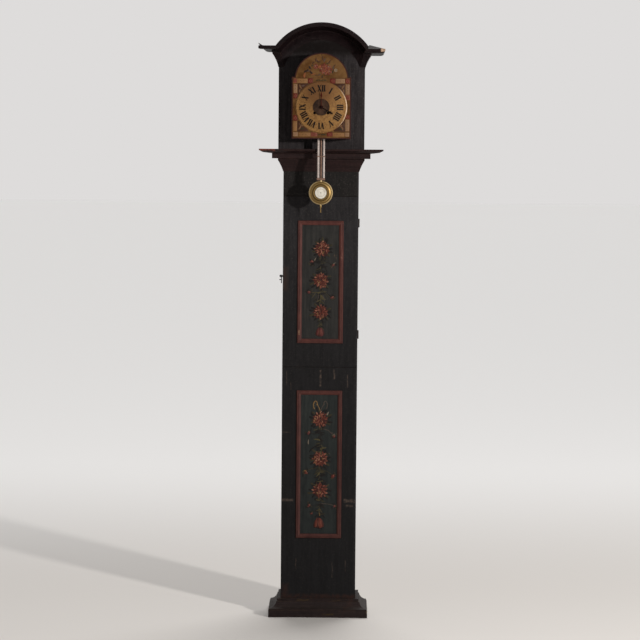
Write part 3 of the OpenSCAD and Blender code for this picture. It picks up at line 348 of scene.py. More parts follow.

# low is the share of its colour that a paint keeps under the door: a painted shade on the lower case
wood = {"stretch": upGrain, "edge": 0.55, "dust": 0.5, "rough": 0.5, "gloss": 0.09, "low": 1}
paints = {
    "blackPaint": {
        **wood, **shades(dark=(21, 19, 20), light=(39, 37, 38), under=(46, 32, 27), bare=(92, 74, 56)),
        "rub": 0.42, "chip": 0.3, "dust": 0.4, "rough": 0.56, "fleck": 0.4, "low": 0.64},
    "hoodPaint": {
        **wood, **shades(dark=(26, 22, 23), light=(50, 46, 47), under=(44, 29, 26), bare=(88, 70, 54)),
        "rub": 0.36, "chip": 0.24, "edge": 0.5, "rough": 0.52, "gloss": 0.06, "fleck": 0.5},
    "railPaint": {
        **wood, **shades(dark=(15, 13, 12), light=(29, 26, 25), under=(36, 26, 23), bare=(74, 60, 47)),
        "rub": 0.42, "chip": 0.28, "dust": 0.4, "rough": 0.56, "fleck": 0.5},
    "archPaint": {
        **wood, **shades(dark=(10, 5, 6), light=(24, 14, 15), under=(48, 28, 24), bare=(104, 80, 60)),
        "stretch": acrossGrain, "rub": 0.4, "chip": 0.3, "edge": 0.6, "rough": 0.44, "gloss": 0.07,
        "fleck": 0.2},
    "mouldingPaint": {
        **wood, **shades(dark=(22, 13, 13), light=(40, 26, 25), under=(58, 34, 28), bare=(110, 84, 62)),
        "stretch": acrossGrain, "rub": 0.45, "chip": 0.35, "edge": 0.7, "rough": 0.44, "gloss": 0.08,
        "fleck": 0.2},
    "plinthPaint": {
        **wood, **shades(dark=(30, 21, 20), light=(50, 38, 36), under=(70, 44, 34), bare=(112, 92, 62)),
        "stretch": acrossGrain, "rub": 0.5, "chip": 0.5, "edge": 0.8, "dust": 0.4, "fleck": 0.3,
        "low": 0.95},
    "redPaint": {
        **wood, **shades(dark=(60, 29, 26), light=(88, 49, 42), under=(44, 24, 22), bare=(132, 96, 82)),
        "stretch": stripGrain, "rub": 0.5, "chip": 0.35, "edge": 0.8, "dust": 0.2, "rough": 0.44,
        "gloss": 0.16, "fleck": 0.15},
    "boxPaint": {
        **wood, **shades(dark=(34, 13, 11), light=(54, 23, 19), under=(26, 15, 13), bare=(104, 72, 52)),
        "rub": 0.35, "chip": 0.3, "edge": 0.6, "dust": 0.35, "gloss": 0.12, "fleck": 0.1},
}
grimeAndShade = {"fleck": srgb(82, 77, 72), "pore": srgb(14, 12, 12), "dust": srgb(96, 90, 84),
         "shade": (0.98, 1.4),                     # painted shade: heights between which the low share ends
         "heights": (0.1, 1.75), "share": 0.6}     # painted shade: all of the case is darker near the floor


def paintedWood(name, v, field, worn):
    material, tree, surface = newMaterial(name)
    grain = useGroup(tree, woodGrain, Stretch=v["stretch"])
    wear = useGroup(tree, wornPaint, Rubbed=v["rub"], Chipped=v["chip"])
    edge = useGroup(tree, edgeWear, Radius=0.0016, Amount=v["edge"])
    dust = useGroup(tree, restingDust, Amount=v["dust"])["Mask"]
    up = split(objectCoords(tree))["Z"]
    colour = blendColour(grain["Streaks"], v["dark"], v["light"])
    colour = lay(colour, grain["Flecks"], v["fleck"], grimeAndShade["fleck"])
    # painted shade: each paint is darker under the door, by its low share
    colour = dimmed(colour, spread(up, *grimeAndShade["shade"], v["low"], 1))
    under = times(wear["Rub"], 0.55)
    if field:
        low, high, tones = field
        zone = useGroup(tree, paintedZone, Low=low, High=high)["Mask"]
        colour = blendColour(zone, colour, blendColour(grain["Streaks"], *tones))
        under = times(under, minus(1, times(zone, 0.75)))
    colour = blendColour(under, colour, v["under"])
    # the worn places, and on the hood the painted shadow under the arch
    for low, high, soft, tone, share in worn:
        zone = useGroup(tree, paintedZone, Low=low, High=high, Soft=soft)["Mask"]
        solid = 0.15 if soft < 0.015 else 0.75  # a soft patch is a shade, a sharp one is broken up
        ragged = times(zone, plus(times(grain["Breaks"], 1 - solid), solid))
        colour = lay(colour, ragged, share, tone, clamp=True)
    colour = lay(colour, edge["Mask"], 0.75, v["under"])
    sharpEdge = times(times(edge["Mask"], edge["Mask"]), 0.5)
    bare = maths("MAXIMUM", times(wear["Chip"], 0.7), sharpEdge)
    colour = blendColour(bare, colour, v["bare"])
    colour = lay(colour, grain["Pores"], 0.22, grimeAndShade["pore"])
    colour = lay(colour, dust, 0.4, grimeAndShade["dust"])
    rough = plus(times(grain["Streaks"], 0.16), v["rough"])
    height = minus(grain["Height"], times(wear["Chip"], 0.5))
    # painted shade: the colour is dimmed towards the floor
    feed(surface, {
        "Base Color": dimmed(colour, spread(up, *grimeAndShade["heights"], grimeAndShade["share"], 1)),
        "Roughness": plus(rough, times(dust, 0.25), clamp=True),
        "Specular IOR Level": v["gloss"],
        "Normal": bump(height, 0.35, 0.0006, Normal=edge["Normal"])})
    return material


fresh = {"dark": srgb(88, 64, 44), "light": srgb(124, 94, 64), "dust": 0.5}
pine = {
    "rawPine": {**fresh, "stretch": upGrain, "on": ("hood_dowels",)},
    "deepPine": {**fresh, "stretch": deepGrain,
                 "on": ("trunk_floor", "hood_base_rails", "movement_brackets")},
    "backPine": {"dark": srgb(72, 54, 40), "light": srgb(104, 80, 58), "stretch": upGrain, "dust": 0.3,
                 "on": ("back_board",)},
}
pineStains = shades(stain=(58, 42, 32), pore=(44, 30, 22), edge=(150, 120, 88), dust=(128, 120, 110))


def rawWood(name, v, tones):
    material, tree, surface = newMaterial(name)
    grain = useGroup(tree, woodGrain, Stretch=v["stretch"], Fineness=0.7)
    dust = useGroup(tree, restingDust, Amount=v["dust"])["Mask"]
    edge = useGroup(tree, edgeWear, Radius=0.0015, Amount=0.4)
    coords = objectCoords(tree)
    stain = spread(noise(coords, 5, 5, 0.6), 0.35, 0.7)
    colour = blendColour(grain["Streaks"], v["dark"], v["light"])
    for mask, share, tone in ((stain, 0.45, "stain"), (grain["Pores"], 0.35, "pore"),
                              (edge["Mask"], 0.3, "edge"), (dust, 0.5, "dust")):
        colour = lay(colour, mask, share, tones[tone])
    saw = put(tree, "TexWave", {"Vector": coords, "Scale": 55, "Distortion": 2, "Detail": 2},
              bands_direction="Z")[1]
    height = plus(grain["Height"], times(saw, 0.12))
    feed(surface, {
        "Base Color": colour, "Specular IOR Level": 0.3,
        "Roughness": plus(times(stain, 0.12), 0.66),
        "Normal": bump(height, 0.5, 0.0008, Normal=edge["Normal"])})
    return material


def dress(material, *names):
    for name in names:
        mesh = nodes[name].data
        mesh.materials.clear()
        mesh.materials.append(material)
        for face in mesh.polygons:
            face.material_index = 0


# The fields inside the red strips
doorLow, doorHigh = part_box("door_panel_frame")
lowLow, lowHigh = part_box("lower_panel_frame")
stripIn = 0.006  # how far the field's colour reaches under its strips
lowerField, doorField = (srgb(27, 30, 30), srgb(46, 49, 47)), (srgb(28, 28, 27), srgb(47, 45, 43))


def panelZone(low, high, field):
    return (low.x + stripIn, -1, low.z + stripIn), (high.x - stripIn, 0.02, high.z - stripIn), field


# Rubbed and scratched places, lighter bands and a painted shadow: left and right, low and high, softness,
# colour and share
def patch(x0, x1, z0, z1, soft, tone, share, back=0.02):
    return (x0, -1, z0), (x1, back, z1), soft, tone, share


sideFront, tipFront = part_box("trunk_side_right")[0].y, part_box("hood_cornice_right")[0].y
kneeRub = patch(-0.141, -0.104, 0.06, 0.125, 0.02, srgb(52, 33, 28), 0.8)
skirtRub = patch(-0.15, 0.15, 0.05, 0.084, 0.01, srgb(50, 32, 27), 1)
# a lighter grey band along the trunk's right front edge
rightEdgeBand = patch(0.13, 0.15, 0.1, 1.72, 0.008, srgb(54, 51, 53), 0.8, sideFront + 0.008)
latchRub = patch(-0.15, -0.112, 1.2, 1.3, 0.02, srgb(46, 34, 29), 0.9, 0.05)
brokenTip = patch(0.212, 0.235, 2.08, 2.1, 0.004, srgb(168, 140, 118), 1.6, tipFront + 0.03)
# a lighter reddish line along the left ledge's top edge
ledgeTopLine = patch(-0.24, -0.165, 1.718, 1.73, 0.005, srgb(98, 50, 40), 1.3, 0.1)
# painted shadow of the arch moulding on the hood board above the dial
archShade = patch(-0.13, 0.13, 2.055, 2.14, 0.03, srgb(15, 10, 9), 1.2, 0.1)
stripChip = patch(-0.081, -0.073, 1.044, 1.062, 0.002, srgb(128, 98, 74), 1.2)
scratches = [patch(*sides, 0.003, srgb(80, 68, 61), 0.9) for sides in (
    (-0.001, 0.008, 0.852, 0.915), (-0.124, -0.119, 0.86, 0.91), (-0.108, -0.104, 0.84, 0.87),
    (0.05, 0.058, 0.88, 0.92), (0.1, 0.106, 0.85, 0.9), (-0.137, -0.092, 0.425, 0.437),
    (0.092, 0.137, 0.421, 0.437), (0.1, 0.13, 0.405, 0.415), (-0.137, -0.1, 0.68, 0.686),
    (0.05, 0.055, 0.14, 0.2), (-0.085, -0.08, 0.17, 0.215), (0.098, 0.103, 0.16, 0.21))]
ochreRubs = [patch(*sides, 0.005, srgb(92, 72, 40), 0.8, 0.1) for sides in (
    (-0.08, -0.03, 0.056, 0.063), (0.015, 0.06, 0.008, 0.016), (0.05, 0.088, 0.056, 0.062),
    (0.049, 0.056, 0.066, 0.073))]

woodwork = {  # paint, worn places (with the painted shadow under the arch), field and nodes of each material
    "blackPaint": ("blackPaint", (rightEdgeBand, kneeRub), None, "trunk_side_left", "trunk_side_right"),
    "lowerBoardPaint": ("blackPaint", [kneeRub, skirtRub, rightEdgeBand] + scratches,
                        panelZone(lowLow, lowHigh, lowerField), "lower_front_board"),
    "doorPaint": ("blackPaint", (latchRub, rightEdgeBand), panelZone(doorLow, doorHigh, doorField), "door_board"),
    "railPaint": ("railPaint", (rightEdgeBand,), None, "top_rail"),
    "hoodPaint": ("hoodPaint", (archShade,), None, "hood_front_board", "hood_side_left", "hood_side_right",
                  "hood_roof"),
    "archPaint": ("archPaint", (), None, "arch_moulding", "hood_cornice_left"),
    "brokenTipPaint": ("archPaint", (brokenTip,), None, "hood_cornice_right"),
    "mouldingPaint": ("mouldingPaint", (ledgeTopLine,), None, "ledge_board", "ledge_mouldings"),
    "plinthPaint": ("plinthPaint", ochreRubs, None, "plinth_moulding"),
    "redPaint": ("redPaint", (stripChip,), None, "door_panel_frame", "lower_panel_frame"),
    "boxPaint": ("boxPaint", (), None, "clock_box", "clock_box_floor"),
}
for name, (paint, worn, field, *pieces) in woodwork.items():
    dress(paintedWood(name, paints[paint], field, worn), *pieces)
for name, v in pine.items():
    dress(rawWood(name, v, pineStains), *v["on"])
print("woodwork painted")

usual = {"bump": 0.1, "specks": 0.3, "gloss": 0.5, "bevel": 0.0004}
dull = {**usual, "rough": 0.7, "metal": 0, "cloud": 140, "amount": 0.6, "specks": 0.2, "gloss": 0.04,
        "bevel": 0}
rods = {"cloud": 75, "bump": 0, "specks": 0, "gloss": 0.4, "bevel": 0}
metals = {
    "forgedIron": {
        **usual, "base": srgb(24, 21, 21), "dull": srgb(44, 32, 27), "rough": 0.55, "metal": 0.75,
        "cloud": 110, "amount": 0.7, "bump": 0.5, "specks": 0.4,
        "on": ("case_hinge_leaves", "door_hinge_leaves", "hinge_pins", "latch_screw", "latch_hook",
               "latch_peg", "dial_nails", "time_arbor", "strike_arbor")},
    "dialBrass": {
        **usual, "base": srgb(133, 97, 51), "dull": srgb(79, 48, 21), "rough": 0.38, "metal": 0.4,
        "cloud": 170, "amount": 0.75, "bump": 0.2, "specks": 0.4, "gloss": 0.3, "on": ("chapter_disc",)},
    "movementBrass": {
        **usual, "base": srgb(186, 150, 78), "dull": srgb(120, 92, 48), "rough": 0.36, "metal": 1,
        "cloud": 70, "amount": 0.6, "bump": 0.15,
        "on": ("front_plate", "back_plate", "plate_pillars", "spring_barrels", "going_train",
               "strike_train", "cannon_pinion", "minute_wheel", "hour_wheel", "suspension_cock")},
    "movementSteel": {
        **usual, "base": srgb(150, 150, 154), "dull": srgb(92, 88, 86), "rough": 0.34, "metal": 1,
        "cloud": 90, "amount": 0.5, "bump": 0.15,
        "on": ("clicks", "hammer", "pallet_anchor", "suspension_spring")},
    "gongSteel": {
        **usual, "base": srgb(70, 74, 92), "dull": srgb(56, 50, 50), "rough": 0.32, "metal": 1,
        "cloud": 60, "amount": 0.5, "on": ("gong",)},
    "rodSteel": {
        **rods, "base": srgb(173, 161, 155), "dull": srgb(149, 136, 129), "rough": 0.66, "metal": 0.3,
        "amount": 0.6, "on": ("steel_rods",)},
    "rodBrass": {
        **rods, "base": srgb(112, 86, 72), "dull": srgb(84, 64, 53), "rough": 0.55, "metal": 0.55,
        "amount": 0.5, "on": ("brass_rod", "gridiron_bars")},
    "bobBrass": {
        **usual, "base": srgb(124, 101, 62), "dull": srgb(80, 62, 37), "rough": 0.44, "metal": 1,
        "cloud": 48, "amount": 0.4, "specks": 0.15, "bevel": 0.0003, "on": ("pendulum_bob", "rating_nut")},
    "handIron": {**dull, "base": srgb(9, 7, 6), "dull": srgb(20, 11, 9), "on": ("hour_hand", "hand_nut")},
    "minuteIron": {**dull, "base": srgb(46, 15, 11), "dull": srgb(66, 20, 14), "on": ("minute_hand",)},
}
speckColour = srgb(40, 30, 22)

discLow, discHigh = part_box("chapter_disc")
dialX, dialZ = (discLow.x + discHigh.x) / 2, (discLow.z + discHigh.z) / 2
discR = (discHigh.x - discLow.x) / 2
bobLow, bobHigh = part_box("enamel_disc")
bobCentre = ((bobLow.x + bobHigh.x) / 2, 0, (bobLow.z + bobHigh.z) / 2)
# Rings of patina and of painted highlight and shade: centre, inner and outer radius, softness, colour and
# share
patinaAndPaintedLight = {
    # the bob: dark rings in the turned grooves, patina that also paints dark reflections, and a painted
    # highlight round the rim
    "bobBrass": ((bobCentre, 0.0262, 0.0318, 0.0012, srgb(58, 44, 22), 0.8),
                 (bobCentre, 0.0215, 0.0232, 0.0005, srgb(50, 38, 20), 0.8),
                 (bobCentre, 0.0358, 0.0392, 0.001, srgb(64, 50, 26), 0.7),
                 (bobCentre, 0.0402, 0.046, 0.0008, srgb(196, 176, 136), 0.6)),
    # the chapter disc: a painted highlight on the right rim, painted shade on its upper part, and a darker
    # band round its edge
    "dialBrass": (((dialX - 0.01, 0, dialZ), discR + 0.0052, 0.2, 0.003, srgb(222, 194, 164), 0.9),
                  ((dialX - 0.01, 0, dialZ + 0.06), -1, 0.085, 0.05, srgb(76, 43, 19), 0.8),
                  ((dialX, 0, dialZ), discR - 0.0014, 0.2, 0.0008, srgb(96, 66, 34), 0.4))}


def ringMask(tree, centre, inner, outer, soft):
    return useGroup(tree, radialBand, Centre=centre, Inner=inner, Outer=outer, Soft=soft)["Mask"]


def agedMetal(name, v, rings):
    material, tree, surface = newMaterial(name)
    spots = useGroup(tree, tarnish, Scale=v["cloud"], Amount=v["amount"])
    colour = blendColour(spots["Mask"], v["base"], v["dull"])
    colour = lay(colour, spots["Specks"], v["specks"], speckColour)
    # rings of patina, painted highlights and painted shade, patchy where the tarnish is
    for *band, tone, share in rings:
        patchy = times(ringMask(tree, *band), spread(spots["Mask"], 0, 0.6, 1, 0.65))
        colour = lay(colour, patchy, share, tone, clamp=True)
    rounded = {}
    if v["bevel"]:
        rounded["Normal"] = useGroup(tree, edgeWear, Radius=v["bevel"], Amount=0.5, Ragged=200)["Normal"]
    feed(surface, {
        "Base Color": colour, "Metallic": v["metal"], "Specular IOR Level": v["gloss"],
        "Roughness": plus(times(spots["Mask"], 0.25), v["rough"]),
        "Normal": bump(spots["Height"], v["bump"], 0.0003, **rounded)})
    return material


aged = {name: agedMetal(name, v, patinaAndPaintedLight.get(name, ())) for name, v in metals.items()}
for name, v in metals.items():
    dress(aged[name], *v["on"])

enamel = {"white": srgb(204, 199, 186), "cream": srgb(182, 174, 160), "line": srgb(70, 60, 50),
          "lines": ((-1, 0.0026, 0.7), (0.0125, 0.0155, 0.22), (0.0195, 0.022, 0.4))}  # radii and share


def whiteEnamel(v):
    material, tree, surface = newMaterial("whiteEnamel")
    cloud = spread(noise(objectCoords(tree), 70, 4), 0.35, 0.75)
    colour = blendColour(cloud, v["white"], v["cream"])
    for inner, outer, share in v["lines"]:
        colour = lay(colour, ringMask(tree, bobCentre, inner, outer, 0.0003), share, v["line"])
    feed(surface, {"Base Color": colour, "Roughness": plus(times(cloud, 0.1), 0.12),
                   "Coat Weight": 0.6, "Coat Roughness": 0.08})
    return material


dress(whiteEnamel(enamel), "enamel_disc")

grounds = {
    "dialPaint": {"dark": srgb(68, 41, 13), "light": srgb(96, 68, 38), "rough": 0.5},
    "centrePaint": {"dark": srgb(16, 9, 6), "light": srgb(66, 46, 34), "rough": 0.45},
}
groundWear = shades(rubbed=(82, 50, 27), chipped=(48, 26, 17), crack=(38, 22, 14))


def dialGround(name, v, tones):
    material, tree, surface = newMaterial(name)
    coords = objectCoords(tree)
    cloud = spread(noise(coords, 28, 6, 0.62), 0.32, 0.7)
    wear = useGroup(tree, wornPaint, Rubbed=0.5, Chipped=0.7)
    cracks = put(tree, "TexVoronoi", {"Vector": coords, "Scale": 140}, feature="DISTANCE_TO_EDGE")
    line = spread(cracks["Distance"], 0, 0.035, 1, 0)
    colour = blendColour(cloud, v["dark"], v["light"])
    colour = lay(colour, wear["Rub"], 0.5, tones["rubbed"])
    colour = lay(colour, wear["Chip"], 0.6, tones["chipped"])
    colour = lay(colour, line, 0.18, tones["crack"])
    feed(surface, {"Base Color": colour, "Roughness": v["rough"], "Specular IOR Level": 0.08,
                   "Normal": bump(plus(cloud, line), 0.2, 0.0003)})
    return material


dress(dialGround("dialPaint", grounds["dialPaint"], groundWear), "dial_plate")
dress(dialGround("centrePaint", grounds["centrePaint"], groundWear), "centre_disc")
print("metals and dial ground made")


def flowerPaint():  # takes its colour from the strokes' own colour attribute
    material, tree, surface = newMaterial("flowerPaint")
    brushed = put(tree, "VertexColor", layer_name="paint")["Color"]
    streak = spread(noise(objectCoords(tree), 420, 3), 0.3, 0.7)
    worn = useGroup(tree, wornPaint, Rubbed=0.35, Chipped=0.5)["Rub"]
    colour = lay(brushed, streak, 0.28, srgb(36, 25, 21))
    feed(surface, {"Base Color": lay(colour, worn, 0.25, srgb(40, 30, 25)),
                   "Roughness": 0.5, "Specular IOR Level": 0.14,
                   "Normal": bump(streak, 0.25, 0.0002)})
    return material


flowerMaterial = flowerPaint()


def surfaceOf(name):
    mesh = nodes[name].data
    return BVHTree.FromPolygons([v.co for v in mesh.vertices], [p.vertices for p in mesh.polygons])


def frontAt(tree, x, z):  # where a ray from the front meets the surface
    hit = tree.ray_cast(Vector((x, -1, z)), Vector((0, 1, 0)))[0]
    return hit.y if hit else None


def finishPiece(name, bm, body, material, flat=False):
    bmesh.ops.recalc_face_normals(bm, faces=bm.faces)
    for face in bm.faces:
        face.smooth = not flat
    piece = meshPiece(name, bm, material)
    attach(piece, body)
    print("  ", name, len(piece.data.polygons), "faces")


batch = 40  # strokes in a small mesh before they join the whole: an operator is quick on a small mesh


class Painting:  # brush strokes laid on one surface, in millimetres from a point of it
    def __init__(self, surface, seed, tones, x, z):
        self.whole = bmesh.new()
        self.surface, self.tones, self.x, self.z = surfaceOf(surface), tones, x, z
        self.rng = random.Random(seed)
        self.newBatch()

    def newBatch(self):
        self.bm = bmesh.new()
        self.layer = self.bm.loops.layers.float_color.new("paint")
        self.count = 0

    def settle(self):  # adds the strokes so far to the whole
        strokes = bpy.data.meshes.new("strokes")
        self.bm.to_mesh(strokes)
        self.whole.from_mesh(strokes)
        bpy.data.meshes.remove(strokes)
        self.bm.free()
        self.newBatch()
        return self.whole

    def about(self, most):
        return self.rng.uniform(-most, most)

    def at(self, x, z):
        x, z = self.x + x * mm, self.z + z * mm
        return x, frontAt(self.surface, x, z), z

    def colourIn(self, verts, tone, variety=0.12):
        share = 1 + self.about(variety)
        colour = tuple(min(1, c * share) for c in self.tones[tone][:3]) + (1,)
        for face in {f for v in verts for f in v.link_faces}:
            for loop in face.loops:
                loop[self.layer] = colour

    # A flattened sphere: bend curves it, taper widens one end, raised keeps it clear of what is under it
    def stroke(self, x, z, long, wide, turn, bend, taper, lift, raised, tone):
        verts = bmesh.ops.create_uvsphere(self.bm, u_segments=8, v_segments=5, radius=1)["verts"]
        x, y, z = self.at(x, z)
        long, wide, lift, raised = long * mm, wide * mm, lift * mm, raised * mm
        c, s = cos(radians(turn)), sin(radians(turn))
        for v in verts:
            along, across, up = v.co.z, v.co.x, v.co.y
            u = across * wide / 2 * (1 + taper * along) + bend * along * along * long / 2
            w = along * long / 2
            v.co = Vector((x + u * c + w * s, y - raised - up * lift, z - u * s + w * c))
        self.colourIn(verts, tone)
        self.count += 1
        if self.count > batch:
            self.settle()

    def line(self, points, wide, tone, lift=0.3, raised=0):
        for (ax, az), (bx, bz) in zip(points, points[1:]):
            long, turn = hypot(bx - ax, bz - az), degrees(atan2(bx - ax, bz - az))
            self.stroke((ax + bx) / 2, (az + bz) / 2, long * 1.35, wide, turn, 0, 0.1, lift, raised, tone)


flowers = shades(deep=(48, 19, 13), warm=(80, 35, 25), light=(102, 55, 42), pale=(126, 82, 64),
    ochre=(108, 82, 46), leafDark=(8, 7, 6), leaf=(20, 20, 15), moss=(42, 38, 23), olive=(64, 57, 34),
    white=(98, 88, 76), red=(80, 27, 22), plum=(74, 33, 32), stem=(17, 16, 13), grey=(60, 52, 45))
petalTones = ("deep", "warm", "warm", "warm", "light", "light", "pale")
leafTones = ("leafDark", "leafDark", "leafDark", "leaf", "moss", "olive")


def rose(p, x, z, r, squash):
    rng = p.rng

    def dab(far, angle, long, wide, turn, bend, tone, raised):  # far, long and wide are shares of the radius
        a = radians(angle)
        p.stroke(x + far * r * sin(a), z + far * r * squash * cos(a), long * r, wide * r, turn, bend, 0.2,
                 0.4, raised, tone)

    for i in range(17):  # pointed leaves that show round the petals
        turn = 21.2 * i + p.about(9)
        dab(rng.uniform(0.9, 1.18), turn, rng.uniform(0.5, 0.9), 0.25, turn + p.about(20), 0.1,
            "leafDark" if i % 3 else "moss", 0)
    for i in range(9):
        dab(0.5, 40 * i, 0.78, 0.6, 40 * i, 0, "deep", 0)
    for i in range(42):  # small petals, each a little further in
        turn = 137.5 * i + p.about(8)
        tone = rng.choice(petalTones)
        dab(0.9 * sqrt((42 - i) / 42), turn, 0.34, rng.uniform(0.13, 0.2), turn + p.about(30), p.about(0.3),
            tone, 0.1 + 0.01 * i)
    for i in range(7):  # curved light touches
        turn = rng.uniform(0, 360)
        dab(rng.uniform(0.25, 0.8), turn, 0.34, 0.08, turn + 90 + p.about(35), -0.3,
            "ochre" if i % 2 else "pale", 0.6)


def bud(p, x, z, r, turn, tone):
    for i in range(7):  # its leaves
        p.stroke(x + p.about(1.1) * r, z + p.about(1.1) * r, r * p.rng.uniform(1.2, 1.9), r * 0.42,
                 turn + 51 * i + p.about(15), 0.1, -0.5, 0.3, 0, "leafDark" if i % 3 else "moss")
    for i in range(6):
        p.stroke(x + p.about(0.4) * r, z + p.about(0.4) * r, r * 1.1, r * 0.42, turn + p.about(35), 0.1, 0.1,
                 0.5, 0.1 + 0.05 * i, tone if i % 3 else "deep")
    p.stroke(x + r * 0.2, z + r * 0.2, r * 0.9, r * 0.22, turn - 8, 0.2, 0, 0.4, 0.6, "pale")


def foliage(p, high, low, reach, count):  # dark leaves down the stem with a few lighter ones
    rng = p.rng
    for i in range(count):
        turn = (1 if i % 2 else -1) * rng.uniform(70, 165)
        a, long = radians(turn), reach * rng.uniform(0.55, 1.1)
        z = high + (low - high) * (i + rng.random()) / count
        tone = rng.choice(leafTones)
        p.stroke(long * 0.45 * sin(a), z + long * 0.45 * cos(a), long, long * rng.uniform(0.13, 0.24),
                 turn, p.about(0.2), -0.45, 0.3, 0.01 * i, tone)


def curl(p, x, z, size, side, tone):  # a C scroll that ends in a dot
    points = []
    for i in range(9):
        a, k = radians(-60 + 30 * i), size * (1 - 0.075 * i)
        points.append((x + side * k * cos(a) * 0.55, z + k * sin(a)))
    p.line(points, size * 0.2, tone, 0.4, 0.2)
    p.stroke(*points[-1], size * 0.34, size * 0.3, 0, 0, 0, 0.5, 0.2, tone)
    p.line([(0, -76), (x * 0.4, -62), (x * 0.75, -50)], 3, tone)  # the stalk that it grows from


# Places are millimetres to the right of the panel's middle and up from its frame's top
lowerFlowers = {
    "surface": "lower_front_board", "body": "case", "seed": 7, "middle": 4, "radius": 30.5,
    "roses": ((0, -107.5, 1), (0, -254, 1), (1, -371, 1)),
    "stem": ((0, -60), (3, -200), (-2, -310), (3, -430), (0, -475)),
    "foliage": ((-135, -232, 26, 34), (-280, -350, 27, 30), (-397, -468, 24, 26)),
    "twigs": ((((0, -155), (-22, -162), (-40, -157)), "stem"),
        (((4, -140), (30, -148), (48, -165)), "grey"), (((-43, -168), (-45, -182), (-43, -196)), "stem"),
        (((0, -288), (-30, -290), (-50, -300)), "moss"), (((0, -294), (26, -300), (46, -314)), "moss"),
        (((0, -422), (-22, -428), (-46, -434)), "stem"), (((2, -420), (30, -422), (52, -427)), "grey"),
        (((0, -440), (-16, -446), (-30, -455)), "stem")),
    "buds": ((-43, -157, 9.5, -15, "plum"), (51, -170, 8.5, 40, "plum"), (-51.5, -305, 10, -40, "warm"),
        (48.5, -317.5, 11, 30, "red"), (-39, -427.5, 9, 20, "plum"), (-30, -457.5, 7, 75, "red"),
        (53.5, -430, 8, 60, "plum")),
    "strokes": ((27, -85, 16, 5.5, 30, "white"), (-44, -191, 20, 4.2, 4, "white"),
        (50, -164, 12, 4, 50, "white"), (44, -157, 10, 3, 100, "grey"), (-28, -215, 38, 5, 48, "leafDark"),
        (-55, -298, 12, 3, 70, "ochre"), (28, -232, 20, 4, 140, "leafDark"),
        (-18, -146, 16, 3, 80, "olive"), (0, -507, 22, 6, 200, "leafDark"),
        (6, -510, 20, 5, 150, "leafDark"), (0, -460, 14, 2.8, 5, "ochre"),
        (-12, -468, 20, 5, 220, "leafDark"), (16, -468, 20, 5, 140, "leafDark")),
    "curls": ((-16.5, -52, 20, -1, "ochre"), (16.5, -52, 19, 1, "grey")),
    "tulip": (-3, -493, 22, "warm"),
}
doorFlowers = {
    "surface": "door_board", "body": "door", "seed": 11, "middle": 2, "radius": 29.5,
    "roses": ((3, -104, 1.05), (0, -220, 1), (0, -336.7, 0.92)),
    "stem": ((2, -70), (2, -160), (0, -200), (0, -290), (-4, -395)),
    "foliage": ((-68, -82, 20, 8), (-128, -192, 26, 26), (-246, -300, 24, 18), (-362, -392, 18, 12)),
    "twigs": ((((0, -136), (11, -164), (24, -192)), "leafDark"),
        (((2, -136), (13, -163), (26, -190)), "stem"), (((0, -146), (-18, -149), (-30, -152)), "stem"),
        (((12, -150), (30, -156), (44, -164)), "stem"), (((-8, -264), (-22, -264), (-34, -265)), "olive"),
        (((0, -256), (20, -268), (36, -281)), "moss")),
    "buds": ((-35, -151.5, 10.5, -60, "plum"), (44.5, -163, 8.5, 50, "plum"), (-44, -263, 9.5, -60, "plum"),
        (41, -283, 11, 60, "plum")),
    "strokes": ((-22, -141.5, 14, 3.6, 25, "white"), (49, -156, 14, 3, 60, "white"),
        (40, -168, 14, 3, 20, "grey"), (-30, -160, 20, 5, 240, "leafDark"),
        (-26, -276, 30, 2.4, 215, "olive"), (-18, -284, 32, 2.4, 205, "moss"),
        (-10, -286, 34, 2.6, 195, "grey"), (0, -288, 36, 2.6, 182, "olive"),
        (12, -286, 34, 2.4, 166, "grey"), (22, -280, 30, 2.2, 150, "moss"),
        (-22, -294, 20, 2.4, 228, "leafDark"), (-3, -382, 20, 3.5, 176, "moss")),
    "curls": (),
    "tulip": (-2, -409, 18.5, "plum"),
}


def paintPanel(name, top, v):
    p = Painting(v["surface"], v["seed"], flowers, v["middle"] * mm, top)
    p.line(v["stem"], 3, "stem")
    for part in v["foliage"]:
        foliage(p, *part)
    for points, tone in v["twigs"]:
        p.line(points, 2.6, tone, 0.3, 0.1)
    for part in v["curls"]:
        curl(p, *part)
    for part in v["buds"]:
        bud(p, *part)
    for x, z, long, wide, turn, tone in v["strokes"]:
        p.stroke(x, z, long, wide, turn, 0.12, -0.4, 0.4, 0.3, tone)
    for x, z, squash in v["roses"]:
        rose(p, x, z, v["radius"], squash)
    x, z, r, tone = v["tulip"]
    for i, side in enumerate((-0.55, 0.55, -0.36, 0.36, -0.15, 0.18)):  # the bud that hangs from the stalk
        p.stroke(x + side * r, z + p.about(0.1) * r, (2.1 - abs(side)) * r, 0.56 * r, 180 - side * 26, 0, 0.1,
                 0.5, 0.1 * i, "deep" if i in (0, 1, 4) else tone)
    for side in (-0.3, 0.02, 0.34):
        p.stroke(x + side * r, z - 0.1 * r, 1.1 * r, 0.13 * r, 180 - side * 30, 0, 0, 0.4, 0.8, "light")
    finishPiece(name, p.settle(), v["body"], flowerMaterial)


paintPanel("lowerPanelFlowers", lowHigh.z, lowerFlowers)
paintPanel("doorPanelFlowers", doorHigh.z, doorFlowers)
print("panel flowers painted")

dial = shades(gold=(116, 82, 48), pinkGold=(124, 94, 68), square=(84, 26, 14), spandrel=(54, 28, 13),
    tan=(96, 68, 44), dark=(32, 19, 12), green=(40, 36, 18), orange=(114, 64, 34), pink=(108, 58, 42),
    rose=(88, 34, 24), brown=(62, 38, 20), grey=(70, 53, 44), pale=(128, 110, 88))
